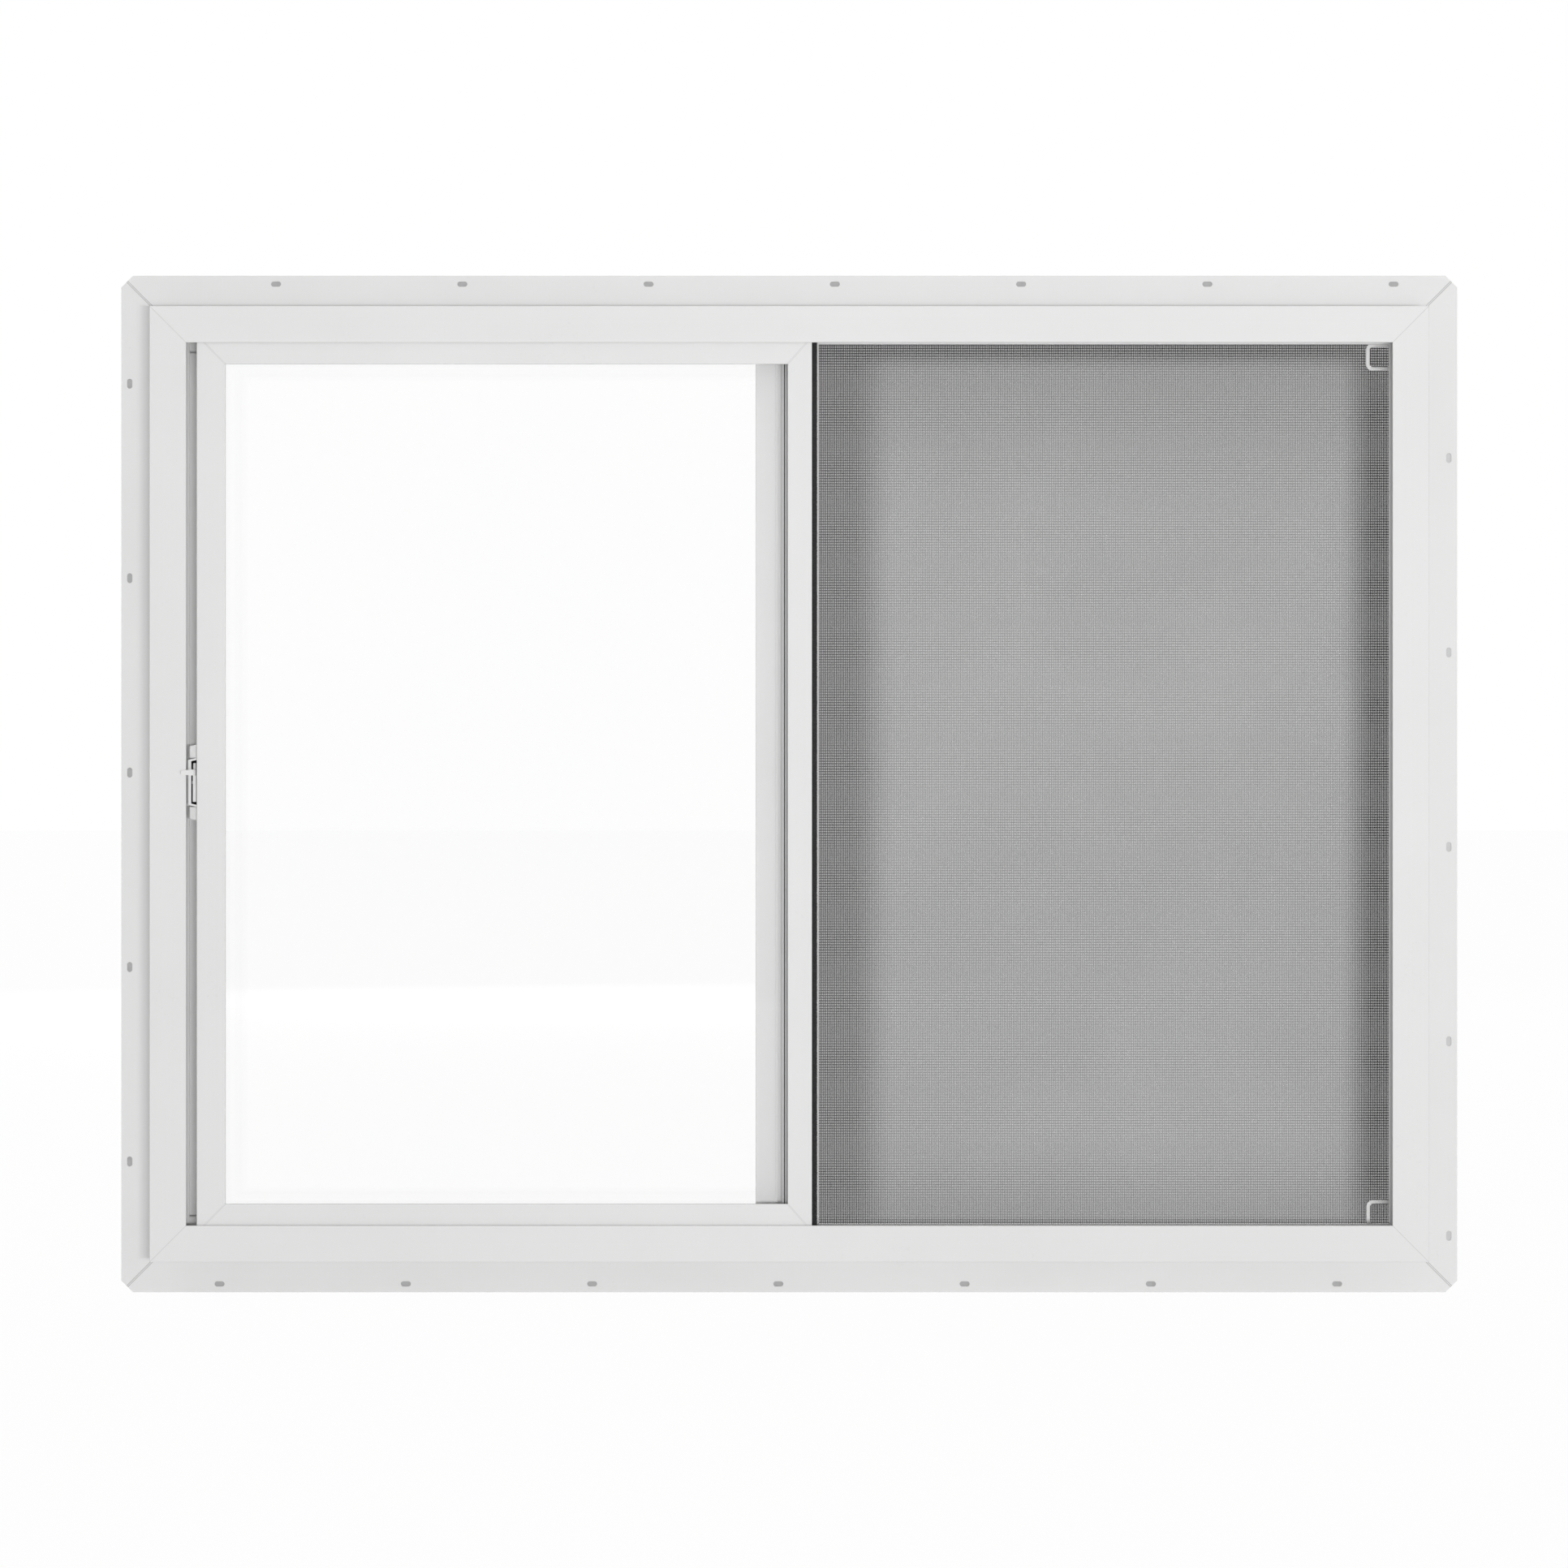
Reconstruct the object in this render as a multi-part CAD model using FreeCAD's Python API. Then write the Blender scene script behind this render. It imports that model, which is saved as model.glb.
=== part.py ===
import FreeCAD, Part
import math
import os

os.makedirs("parts", exist_ok=True)
Vec = FreeCAD.Vector

# Horizontal sliding window, modelled in millimetres.
# X runs along the window, +Y points outdoors, Z is up.
# The indoor face looks to -Y. The sash is stored slid fully open, to -X.
# The origin is on the indoor face of the sill's nailing fin, in the middle of the sill.

# Overall sizes
frame_width = 1206.5
frame_height = 901.7
indoor_depth = 38.0          # indoor face to the indoor face of the nailing fin
outdoor_depth = 34.9         # indoor face of the fin to the outdoor face

# Nailing fin
fin_reach = 34.3
fin_thick = 1.8
fin_corner_cut = 11.2
slot_length = 9.5
slot_width = 5.0
slot_edge = 8.0              # slot centre to the outer edge of the fin
rail_slot_pitch = 177.8
head_slot_shift = 43.5       # middle slot from the middle of the member
sill_slot_shift = -10.4
jamb_slot_pitch = 185.6
left_slot_shift = 10.9
right_slot_shift = -60.0

# Frame profile, measured inward from the outer line of the frame
face_width = 34.5
lip_thick = 2.5
floor_height = 10.0          # perimeter wall under the tracks
rail_height = 22.0           # top of the roller rail
rail_thick = 3.0
divider_height = 32.0
divider_thick = 2.5
screen_rib_height = 14.0
screen_rib_thick = 1.8
outer_lip_height = 24.0
outer_lip_thick = 2.5
edge_round = 0.8

# Clearances
seat_gap = 0.3
slide_gap = 2.0              # sash to the lip in front and the divider behind
mitre_spare = 0.2            # share of a bar's width that a mitre block runs past it
cut_past = 2.0               # how far cutters run past a face

# Sliding sash
open_gap = 9.15              # left stile to the frame lip, slid open
sash_overlap = 7.6           # sash hidden behind the frame lip, top and bottom
sash_over_mullion = 14.9     # sash past the mullion's right face, slid open
sash_depth = 24.0
stile_width = 27.2
rail_width = 27.5
right_stile_face = 22.9
flange_reach = 6.5
flange_thick = 1.5
glazing_bite = 14.0
sash_lip_thick = 2.0
sash_pane_thick = 2.5
sash_air_gap = 10.0
stile_relief = 3.0           # stiles stand this far forward of the rails' back
bead_thick = 3.4
bead_nose = 1.1
bead_slope = 3.0
bead_setback = 4.5           # beads stand back from the edge of the clear glass
glass_edge_gap = 1.5

# Weather pile
pile_reach = 4.7
pile_thick = 4.0
pile_back_width = 6.8
pile_back_thick = 1.0
pile_slot_wall = 1.2
pile_place = 12.0            # pile middle behind the sash face
pile_end_gap = 3.0
rail_pile_width = 4.0
rail_pile_inset = 1.0
mullion_pile_width = 0.95
mullion_pile_gap = 0.1       # pile to the walls on both sides of it
mullion_pile_drop = 0.3      # pile below the hook's top

# Rollers under the sash
roller_radius = 7.0
roller_thick = 5.0
roller_inset = 80.0
roller_side_gap = 0.6
roller_end_gap = 1.0
roller_groove_width = 11.0
roller_groove_depth = 12.0
housing_length = 44.0
axle_radius = 1.5
axle_inset = 1.0

# Meeting mullion, its features measured from its left edge
mullion_left = -32.0
mullion_width = 45.0
mullion_pocket = 12.0
mullion_lug = 6.0
notch_left = 18.3
notch_depth = 1.0
ridge_left = 20.0
channel_left = 20.9
channel_right = 25.9
channel_depth = 6.0
hook_leg = 0.9
hook_height = 3.8
hook_tip = 0.5
hook_end_gap = 3.0           # hook and pile stop short of the sash rails
keeper_wall = 1.6            # wall on the other side of the pile
keeper_height = 3.0

# Interlock on the left stile
interlock_inset = 1.0
interlock_leg = 1.0
interlock_reach = 3.7
interlock_tip = 3.3
interlock_tip_thick = 0.8

# Fixed lite
fixed_pane_thick = 3.0
fixed_air_gap = 12.7
fixed_bead_height = 40.0
fixed_bead_wall = 1.8
fixed_bead_lean = 4.0
fixed_bead_nose = 2.0
pocket_bead_inset = 1.0
spacer_width = 6.0
spacer_inset = 3.0

# Insect screen
screen_edge = 12.0           # frame outer line to the screen's outer edge
screen_bar_width = 12.5
screen_bar_depth = 8.0
screen_lip_gap = 1.4         # screen bars to the outer lip
spline_width = 3.0
spline_place = 5.2
mesh_thick = 0.4
mesh_columns = 8
mesh_rows = 11
mesh_web = 6.0               # between the coarse openings
pull_size = 26.5
pull_band = 3.8
pull_depth = 3.0
pull_corner = 6.0
pull_drop = 3.1              # ring below the screen bar's inner edge
pull_lap = 0.5               # ring over the side bar
pull_tab_width = 12.0
pull_tab_thick = 1.2
pull_tab_seat = 6.0

# Weep covers on the outdoor face of the sill
weep_length = 38.0
weep_height = 8.0
weep_thick = 2.0
weep_chamfer = 0.8
weep_rise = 1.0
weep_inset = 203.0           # cover middle to the end of the sill

# Lock on the left stile
lock_rise = 1.5              # lock middle above the middle of the sash
lock_plate_ear = 13.0        # plate beyond each end of the bezel
lock_plate_reach = 8.4
lock_plate_setback = 5.0     # plate face behind the sash face
lock_bezel_height = 46.0
lock_bezel_reach = 9.2
lock_bezel_setback = 1.0
lock_back_room = 3.0         # lock back to the back of the stile
lock_wall = 4.0
lock_rim = 1.8
lock_end_slope = 2.0
lock_corner = 1.4
lever_gap = 1.2
lever_thick = 3.2
lever_pivot_depth = 6.0      # pivot behind the sash face
lever_rise = 9.3             # tab above the middle of the lock
lever_root_height = 5.6
lever_tab_height = 3.8
lever_tip_height = 1.8
lever_tab_stand_off = 2.2    # tab in front of the frame face
lever_tab_thick = 3.4
lever_tab_dip = 1.1          # tip set back toward the frame face
lever_tip_round = 0.85
lever_heel_round = 1.7
lever_tab_reach = 13.2       # tab tip beyond the stile's edge
lever_tongue = 18.5
lever_heel = 18.5            # rocker above the middle, set back in the slot
lever_heel_front = 1.0       # heel face before the pivot
lever_tongue_thick = 3.0
lever_tongue_round = 1.0
lever_face_setback = 1.5
lever_hub_radius = 3.6
lever_pin_radius = 1.5

# Places worked out from the sizes above
half_w = frame_width / 2
half_h = frame_height / 2
indoor_y = -indoor_depth
outdoor_y = outdoor_depth
centre_z = half_h + fin_reach / 2
lip_back = indoor_y + lip_thick
sash_front = lip_back + slide_gap
sash_back = sash_front + sash_depth
stile_back = sash_back - stile_relief
divider_y = sash_back + slide_gap
track_y = divider_y + divider_thick
rail_y = (sash_front + sash_back) / 2
outer_lip_y = outdoor_y - outer_lip_thick
mullion_right = mullion_left + mullion_width
sash_left = -half_w + face_width + open_gap
sash_right = mullion_right + sash_over_mullion
sash_half_h = half_h - face_width + sash_overlap
screen_y = outer_lip_y - screen_lip_gap - screen_bar_depth
fixed_glass_edge = screen_rib_height + glass_edge_gap
sides = ("top", "bottom", "left", "right")


# Outlines
def rounded_wire(points, to_space):
    # Closed wire from (a, b) or (a, b, radius) corners, placed by to_space(a, b)
    corners = []
    for i, point in enumerate(points):
        a, b = point[0], point[1]
        radius = point[2] if len(point) > 2 else 0
        if not radius:
            corners.append((to_space(a, b), None, to_space(a, b)))
            continue
        before = points[i - 1]
        after = points[(i + 1) % len(points)]
        here = Vec(a, b, 0)
        back = (Vec(before[0], before[1], 0) - here).normalize()
        ahead = (Vec(after[0], after[1], 0) - here).normalize()
        half = back.getAngle(ahead) / 2
        middle = (back + ahead).normalize()
        start = here + back * (radius / math.tan(half))
        end = here + ahead * (radius / math.tan(half))
        crown = here + middle * (radius / math.sin(half) - radius)
        corners.append(tuple(to_space(p.x, p.y) for p in (start, crown, end)))
    edges = []
    for i, (start, crown, end) in enumerate(corners):
        if crown is not None:
            edges.append(Part.Arc(start, crown, end).toShape())
        following = corners[(i + 1) % len(corners)][0]
        if end.distanceToPoint(following) > 1e-6:
            edges.append(Part.makeLine(end, following))
    return Part.Wire(edges)


def bar_x(profile, x0, x1):
    # Profile points are (z, y), drawn out along X
    face = Part.Face(rounded_wire(profile, lambda z, y: Vec(x0, y, z)))
    return face.extrude(Vec(x1 - x0, 0, 0))


def bar_z(profile, z0, z1):
    # Profile points are (x, y), drawn out along Z
    face = Part.Face(rounded_wire(profile, lambda x, y: Vec(x, y, z0)))
    return face.extrude(Vec(0, 0, z1 - z0))


def plate_y(profile, y0, y1):
    # Profile points are (x, z), drawn out along Y
    face = Part.Face(rounded_wire(profile, lambda x, z: Vec(x, y0, z)))
    return face.extrude(Vec(0, y1 - y0, 0))


def box(x0, x1, y0, y1, z0, z1):
    return Part.makeBox(x1 - x0, y1 - y0, z1 - z0, Vec(x0, y0, z0))


def rod(radius, start, end):
    return Part.makeCylinder(radius, (end - start).Length, start, end - start)


def inset(rect, amount):
    # Rectangles are (x0, x1, z0, z1)
    return rect[0] + amount, rect[1] - amount, rect[2] + amount, rect[3] - amount


def ring_xz(outer, inner, y0, y1):
    body = box(outer[0], outer[1], y0, y1, outer[2], outer[3])
    return body.cut(box(inner[0], inner[1], y0 - cut_past, y1 + cut_past, inner[2], inner[3]))


def mirrored_z(shape):
    return shape.mirror(Vec(0, 0, 0), Vec(0, 0, 1))


def save(name, shape):
    placed = shape.copy()
    placed.translate(Vec(0, 0, centre_z))
    placed.exportStep("parts/" + name + ".step")
    print(name, len(placed.Solids), "solids,", round(placed.Volume / 1000, 1), "cm3")


# Mitred bars round a rectangle
def mitre_block(outer, inner, side, past_out, past_in):
    # Prism over one side, cut along the lines from the outer to the inner corners
    ox0, ox1, oz0, oz1 = outer
    ix0, ix1, iz0, iz1 = inner
    first, last = {
        "bottom": ((ox0, oz0, ix0, iz0), (ox1, oz0, ix1, iz0)),
        "top": ((ox0, oz1, ix0, iz1), (ox1, oz1, ix1, iz1)),
        "left": ((ox0, oz0, ix0, iz0), (ox0, oz1, ix0, iz1)),
        "right": ((ox1, oz0, ix1, iz0), (ox1, oz1, ix1, iz1)),
    }[side]
    ends = []
    for (ax, az, bx, bz), shares in ((first, (-past_out, 1 + past_in)), (last, (1 + past_in, -past_out))):
        for share in shares:
            ends.append((ax + (bx - ax) * share, az + (bz - az) * share))
    return plate_y(ends, indoor_y - cut_past, outdoor_y + cut_past)


def side_map(side, rect):
    # Turns (inward distance, depth) into (z, y) or (x, y) on one side of a rectangle
    start, sign = {
        "bottom": (rect[2], 1),
        "top": (rect[3], -1),
        "left": (rect[0], 1),
        "right": (rect[1], -1),
    }[side]
    return lambda point: (start + sign * point[0],) + tuple(point[1:])


def framed_bar(profile, outer, inner, side, spare=0.0):
    # A mitred bar on one side of a rectangle, from a profile of (inward distance, depth)
    points = [side_map(side, outer)(p) for p in profile]
    x0, x1, z0, z1 = outer
    if side in ("bottom", "top"):
        bar = bar_x(points, x0 - spare, x1 + spare)
        width = abs(inner[2] - outer[2])
    else:
        bar = bar_z(points, z0 - spare, z1 + spare)
        width = abs(inner[1] - outer[1]) if side == "right" else abs(inner[0] - outer[0])
    reach = max(p[0] for p in profile)
    past_in = max(reach - width, 0) / width + mitre_spare
    return bar.common(mitre_block(outer, inner, side, spare / width, past_in))


# Main frame
frame_rect = (-half_w, half_w, -half_h, half_h)
frame_inner = inset(frame_rect, face_width)
screen_rib_y = screen_y - seat_gap - screen_rib_thick


def frame_profile():
    # Lip, roller rail, divider, screen rib and outer lip rise from one perimeter wall
    rail_y0 = rail_y - rail_thick / 2
    rail_y1 = rail_y + rail_thick / 2
    return [
        (0, indoor_y, edge_round),
        (face_width, indoor_y, edge_round),
        (face_width, lip_back, edge_round),
        (floor_height, lip_back, edge_round),
        (floor_height, rail_y0, edge_round),
        (rail_height, rail_y0, edge_round),
        (rail_height, rail_y1, edge_round),
        (floor_height, rail_y1, edge_round),
        (floor_height, divider_y, edge_round),
        (divider_height, divider_y, edge_round),
        (divider_height, track_y, edge_round),
        (floor_height, track_y),
        (floor_height, screen_rib_y),
        (screen_rib_height, screen_rib_y),
        (screen_rib_height, screen_rib_y + screen_rib_thick),
        (floor_height, screen_rib_y + screen_rib_thick),
        (floor_height, outer_lip_y),
        (outer_lip_height, outer_lip_y, edge_round),
        (outer_lip_height, outdoor_y, edge_round),
        (0, outdoor_y, edge_round),
        (0, fin_thick),
        (-fin_reach, fin_thick),
        (-fin_reach, 0),
        (0, 0),
    ]


def slot_cutter(x, z, along_x):
    # A slot with round ends, through the fin
    run = (slot_length - slot_width) / 2
    radius = slot_width / 2
    step = Vec(run, 0, 0) if along_x else Vec(0, 0, run)
    half_x = run if along_x else radius
    half_z = radius if along_x else run
    middle = Vec(x, -cut_past, z)
    through = Vec(0, fin_thick + 2 * cut_past, 0)
    cutter = box(x - half_x, x + half_x, middle.y, middle.y + through.y, z - half_z, z + half_z)
    for end in (middle - step, middle + step):
        cutter = cutter.fuse(rod(radius, end, end + through))
    return cutter.removeSplitter()


def slot_places(length, pitch, shift):
    # As many slots at the pitch as the member's length holds
    count = int((length - 2 * abs(shift)) / pitch) + 1
    return [shift + (i - (count - 1) / 2) * pitch for i in range(count)]


def fin_corner(sign_x, sign_z):
    x = sign_x * (half_w + fin_reach)
    z = sign_z * (half_h + fin_reach)
    far_x = x + sign_x * cut_past
    far_z = z + sign_z * cut_past
    cut = fin_corner_cut + cut_past
    corner = [(far_x, far_z), (far_x, z - sign_z * cut), (x - sign_x * cut, far_z)]
    return plate_y(corner, -cut_past, fin_thick + cut_past)


def frame_member(side):
    bar = framed_bar(frame_profile(), frame_rect, frame_inner, side, fin_reach)
    line = fin_reach - slot_edge
    if side in ("top", "bottom"):
        shift = head_slot_shift if side == "top" else sill_slot_shift
        z = (half_h + line) * (1 if side == "top" else -1)
        slots = [slot_cutter(x, z, True) for x in slot_places(frame_width, rail_slot_pitch, shift)]
    else:
        shift = right_slot_shift if side == "right" else left_slot_shift
        x = (half_w + line) * (1 if side == "right" else -1)
        slots = [slot_cutter(x, z, False) for z in slot_places(frame_height, jamb_slot_pitch, shift)]
    corners = [fin_corner(sign_x, sign_z) for sign_x in (-1, 1) for sign_z in (-1, 1)]
    return bar.cut(slots + corners)


save("frame_head", frame_member("top"))
save("frame_sill", frame_member("bottom"))
save("frame_left_jamb", frame_member("left"))
save("frame_right_jamb", frame_member("right"))

# Meeting mullion
mullion_face_half = half_h - divider_height - seat_gap
mullion_core_half = half_h - screen_rib_height - seat_gap
mullion_lip_half = half_h - outer_lip_height - seat_gap
hook_half = sash_half_h - (rail_width - glazing_bite) - hook_end_gap
hook_left = mullion_left + channel_right
pile_left = hook_left + hook_leg + mullion_pile_gap
keeper_left = pile_left + mullion_pile_width + mullion_pile_gap


def mullion_profile():
    # Glazing pocket on the left, screen lug on the right, interlock channel in the indoor face
    left = mullion_left
    core = left + mullion_pocket
    return [
        (left, divider_y, edge_round),
        (left + notch_left, divider_y),
        (left + ridge_left, divider_y + notch_depth),
        (left + ridge_left, divider_y),
        (left + channel_left, divider_y),
        (left + channel_left, divider_y + channel_depth),
        (left + channel_right, divider_y + channel_depth),
        (left + channel_right, divider_y),
        (mullion_right, divider_y, edge_round),
        (mullion_right, outer_lip_y),
        (mullion_right + mullion_lug, outer_lip_y, edge_round),
        (mullion_right + mullion_lug, outdoor_y, edge_round),
        (left, outdoor_y, edge_round),
        (left, outer_lip_y, edge_round),
        (core, outer_lip_y),
        (core, track_y),
        (left, track_y, edge_round),
    ]


def hook_profile():
    # The mullion's half of the interlock: a leg with its tip turned to -X
    x0 = hook_left
    x1 = x0 + hook_leg
    top = divider_y - hook_height
    return [
        (x0, divider_y + cut_past),
        (x0, top + hook_leg),
        (x0 - hook_tip, top + hook_leg),
        (x0 - hook_tip, top),
        (x1, top),
        (x1, divider_y + cut_past),
    ]


def meeting_mullion():
    x0 = mullion_left - cut_past
    x1 = mullion_right + mullion_lug + cut_past
    bar = bar_z(mullion_profile(), -mullion_core_half, mullion_core_half)
    end = mullion_core_half + cut_past
    face_notch = box(x0, x1, divider_y - cut_past, track_y + seat_gap, mullion_face_half, end)
    lip_notch = box(x0, x1, outer_lip_y - seat_gap, outdoor_y + cut_past, mullion_lip_half, end)
    notches = [face_notch, lip_notch, mirrored_z(face_notch), mirrored_z(lip_notch)]
    hook = bar_z(hook_profile(), -hook_half, hook_half)
    keeper_y = divider_y - keeper_height
    keeper_x = keeper_left + keeper_wall
    keeper = box(keeper_left, keeper_x, keeper_y, divider_y + cut_past, -hook_half, hook_half)
    return bar.cut(notches).fuse([hook, keeper]).removeSplitter()


def mullion_pile():
    # A brush that stands between the hook's leg and the keeper wall
    x1 = pile_left + mullion_pile_width
    y0 = divider_y - hook_height + mullion_pile_drop
    return box(pile_left, x1, y0, divider_y - seat_gap, -hook_half, hook_half)


save("meeting_mullion", meeting_mullion())
save("mullion_pile", mullion_pile())


# Insulated glass units
def insulated_unit(prefix, rect, y0, pane, air):
    # Two panes with a spacer frame between them
    y1 = y0 + pane
    y2 = y1 + air
    x0, x1, z0, z1 = rect
    spacer = inset(rect, spacer_inset)
    save(prefix + "_glass_indoor", box(x0, x1, y0, y1, z0, z1))
    save(prefix + "_glass_outdoor", box(x0, x1, y2, y2 + pane, z0, z1))
    save(prefix + "_spacer", ring_xz(spacer, inset(spacer, spacer_width), y1, y2))


# Fixed lite
fixed_y1 = outer_lip_y - seat_gap
fixed_y0 = fixed_y1 - 2 * fixed_pane_thick - fixed_air_gap
fixed_right = mullion_left + mullion_pocket
fixed_glass_rect = (
    -half_w + fixed_glass_edge,
    fixed_right - glass_edge_gap,
    -half_h + fixed_glass_edge,
    half_h - fixed_glass_edge,
)
insulated_unit("fixed", fixed_glass_rect, fixed_y0, fixed_pane_thick, fixed_air_gap)


def fixed_bead_profile(low, high):
    # A snap-in channel, open toward the frame, with a leaning face
    y0 = track_y + seat_gap
    y1 = fixed_y0 - seat_gap
    wall = fixed_bead_wall
    return [
        (low, y0),
        (high - fixed_bead_nose, y0, edge_round),
        (high, y0 + fixed_bead_lean, edge_round),
        (high, y1),
        (low, y1),
        (low, y1 - wall),
        (high - wall, y1 - wall),
        (high - wall, y0 + fixed_bead_lean),
        (high - wall - fixed_bead_nose / 2, y0 + wall),
        (low, y0 + wall),
    ]


def fixed_bead(side):
    low = floor_height + seat_gap
    points = [side_map(side, frame_rect)(p) for p in fixed_bead_profile(low, fixed_bead_height)]
    if side in ("top", "bottom"):
        return bar_x(points, -half_w + low, fixed_right - seat_gap)
    half = half_h - fixed_bead_height - seat_gap
    return bar_z(points, -half, half)


def pocket_bead():
    # The bead beside the mullion sits inside its glazing pocket
    half = half_h - fixed_bead_height - seat_gap
    profile = fixed_bead_profile(0, mullion_pocket - pocket_bead_inset)
    points = [(fixed_right - seat_gap - p[0],) + tuple(p[1:]) for p in profile]
    return bar_z(points, -half, half)


save("fixed_bead_top", fixed_bead("top"))
save("fixed_bead_bottom", fixed_bead("bottom"))
save("fixed_bead_left", fixed_bead("left"))
save("fixed_bead_right", pocket_bead())

# Insect screen
screen_rect = (
    mullion_right + seat_gap,
    half_w - screen_edge,
    -half_h + screen_edge,
    half_h - screen_edge,
)
screen_inner = inset(screen_rect, screen_bar_width)
screen_y1 = screen_y + screen_bar_depth
groove_width = spline_width + 2 * seat_gap


def screen_profile():
    # A bar with a groove for the spline in its outdoor face
    low = spline_place
    high = spline_place + groove_width
    floor = screen_y1 - spline_width - seat_gap
    return [
        (0, screen_y, edge_round),
        (screen_bar_width, screen_y, edge_round),
        (screen_bar_width, screen_y1, edge_round),
        (high, screen_y1),
        (high, floor),
        (low, floor),
        (low, screen_y1),
        (0, screen_y1, edge_round),
    ]


def screen_spline():
    outer = inset(screen_rect, spline_place + seat_gap)
    return ring_xz(outer, inset(outer, spline_width), screen_y1 - spline_width, screen_y1 - seat_gap)


def screen_mesh():
    # The mesh lies on the outdoor face of the bars, inside the spline, its weave as a coarse grid
    x0, x1, z0, z1 = inset(screen_rect, spline_place + groove_width)
    y0 = screen_y1 + seat_gap
    y1 = y0 + mesh_thick
    wide = (x1 - x0 - mesh_web) / mesh_columns
    high = (z1 - z0 - mesh_web) / mesh_rows
    openings = []
    for column in range(mesh_columns):
        left = x0 + mesh_web + column * wide
        for row in range(mesh_rows):
            low = z0 + mesh_web + row * high
            openings.append(box(left, left + wide - mesh_web, y0 - cut_past, y1 + cut_past,
                                low, low + high - mesh_web))
    return box(x0, x1, y0, y1, z0, z1).cut(openings)


for side in sides:
    save("screen_bar_" + side, framed_bar(screen_profile(), screen_rect, screen_inner, side))
save("screen_spline", screen_spline())
save("screen_mesh", screen_mesh())


def square_plate(size, corner, y0, y1, x, z):
    half = size / 2
    points = [(x - half, z - half, corner), (x + half, z - half, corner),
              (x + half, z + half, corner), (x - half, z + half, corner)]
    return plate_y(points, y0, y1)


def screen_pull(z):
    # A square ring with a tab over the screen bar
    y1 = screen_y - seat_gap
    y0 = y1 - pull_depth
    x = screen_inner[1] + pull_lap - pull_size / 2
    hole_size = pull_size - 2 * pull_band
    hole = square_plate(hole_size, pull_corner - pull_band, y0 - cut_past, y1 + cut_past, x, z)
    ring = square_plate(pull_size, pull_corner, y0, y1, x, z).cut(hole)
    tab_x0 = x + pull_size / 2 - pull_band / 2
    half = pull_tab_width / 2
    tab = box(tab_x0, screen_inner[1] + pull_tab_seat, y1 - pull_tab_thick, y1, z - half, z + half)
    return ring.fuse(tab).removeSplitter()


pull_z = screen_inner[3] - pull_drop - pull_size / 2
save("screen_pull_top", screen_pull(pull_z))
save("screen_pull_bottom", screen_pull(-pull_z))


# Weep covers
def weep_cover(x):
    z0 = -half_h + weep_rise
    y1 = outdoor_y + weep_thick
    half = weep_length / 2
    cover = box(x - half, x + half, outdoor_y, y1, z0, z0 + weep_height)
    front = [e for e in cover.Edges if e.BoundBox.YMin > y1 - weep_chamfer / 2]
    return cover.makeChamfer(weep_chamfer, front)


weep_spots = [-half_w + weep_inset, half_w - weep_inset]
save("weep_covers", Part.makeCompound([weep_cover(x) for x in weep_spots]))

# Sliding sash
sash_rect = (sash_left, sash_right, -sash_half_h, sash_half_h)
sash_inner = (
    sash_left + stile_width,
    sash_right - right_stile_face - flange_reach,
    -sash_half_h + rail_width,
    sash_half_h - rail_width,
)
lip_y = sash_front + sash_lip_thick
pile_y = sash_front + pile_place


def rail_profile():
    # Glazing lip in front, solid body, and the roller groove along the outer edge
    body = rail_width - glazing_bite
    groove_y0 = rail_y - roller_groove_width / 2
    groove_y1 = rail_y + roller_groove_width / 2
    return [
        (0, sash_front, edge_round),
        (rail_width, sash_front, edge_round),
        (rail_width, lip_y),
        (body, lip_y),
        (body, sash_back),
        (0, sash_back, edge_round),
        (0, groove_y1),
        (roller_groove_depth, groove_y1),
        (roller_groove_depth, groove_y0),
        (0, groove_y0),
    ]


def left_stile_profile():
    # The interlock is a leg on the back with its tip turned to +X
    body = stile_width - glazing_bite
    leg_x0 = interlock_inset
    leg_x1 = leg_x0 + interlock_leg
    end = stile_back + interlock_reach
    return [
        (0, sash_front, edge_round),
        (stile_width, sash_front, edge_round),
        (stile_width, lip_y),
        (body, lip_y),
        (body, stile_back),
        (leg_x1, stile_back),
        (leg_x1, end - interlock_tip_thick),
        (leg_x1 + interlock_tip, end - interlock_tip_thick),
        (leg_x1 + interlock_tip, end),
        (leg_x0, end),
        (leg_x0, stile_back),
        (0, stile_back),
    ]


def right_stile_profile():
    # The pile's slot is in the outer edge, in front of a thin flange
    wide = flange_reach + right_stile_face
    body = wide - glazing_bite
    neck = pile_thick / 2 + seat_gap
    room = pile_back_width / 2 + seat_gap
    slot_x1 = flange_reach + pile_slot_wall
    slot_x2 = slot_x1 + pile_back_thick + 2 * seat_gap
    return [
        (flange_reach, sash_front, edge_round),
        (wide, sash_front, edge_round),
        (wide, lip_y),
        (body, lip_y),
        (body, stile_back),
        (0, stile_back),
        (0, stile_back - flange_thick),
        (flange_reach, stile_back - flange_thick),
        (flange_reach, pile_y + neck),
        (slot_x1, pile_y + neck),
        (slot_x1, pile_y + room),
        (slot_x2, pile_y + room),
        (slot_x2, pile_y - room),
        (slot_x1, pile_y - room),
        (slot_x1, pile_y - neck),
        (flange_reach, pile_y - neck),
    ]


save("sash_top_rail", framed_bar(rail_profile(), sash_rect, sash_inner, "top"))
save("sash_bottom_rail", framed_bar(rail_profile(), sash_rect, sash_inner, "bottom"))
save("sash_left_stile", framed_bar(left_stile_profile(), sash_rect, sash_inner, "left"))
save("sash_right_stile", framed_bar(right_stile_profile(), sash_rect, sash_inner, "right"))

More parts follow.
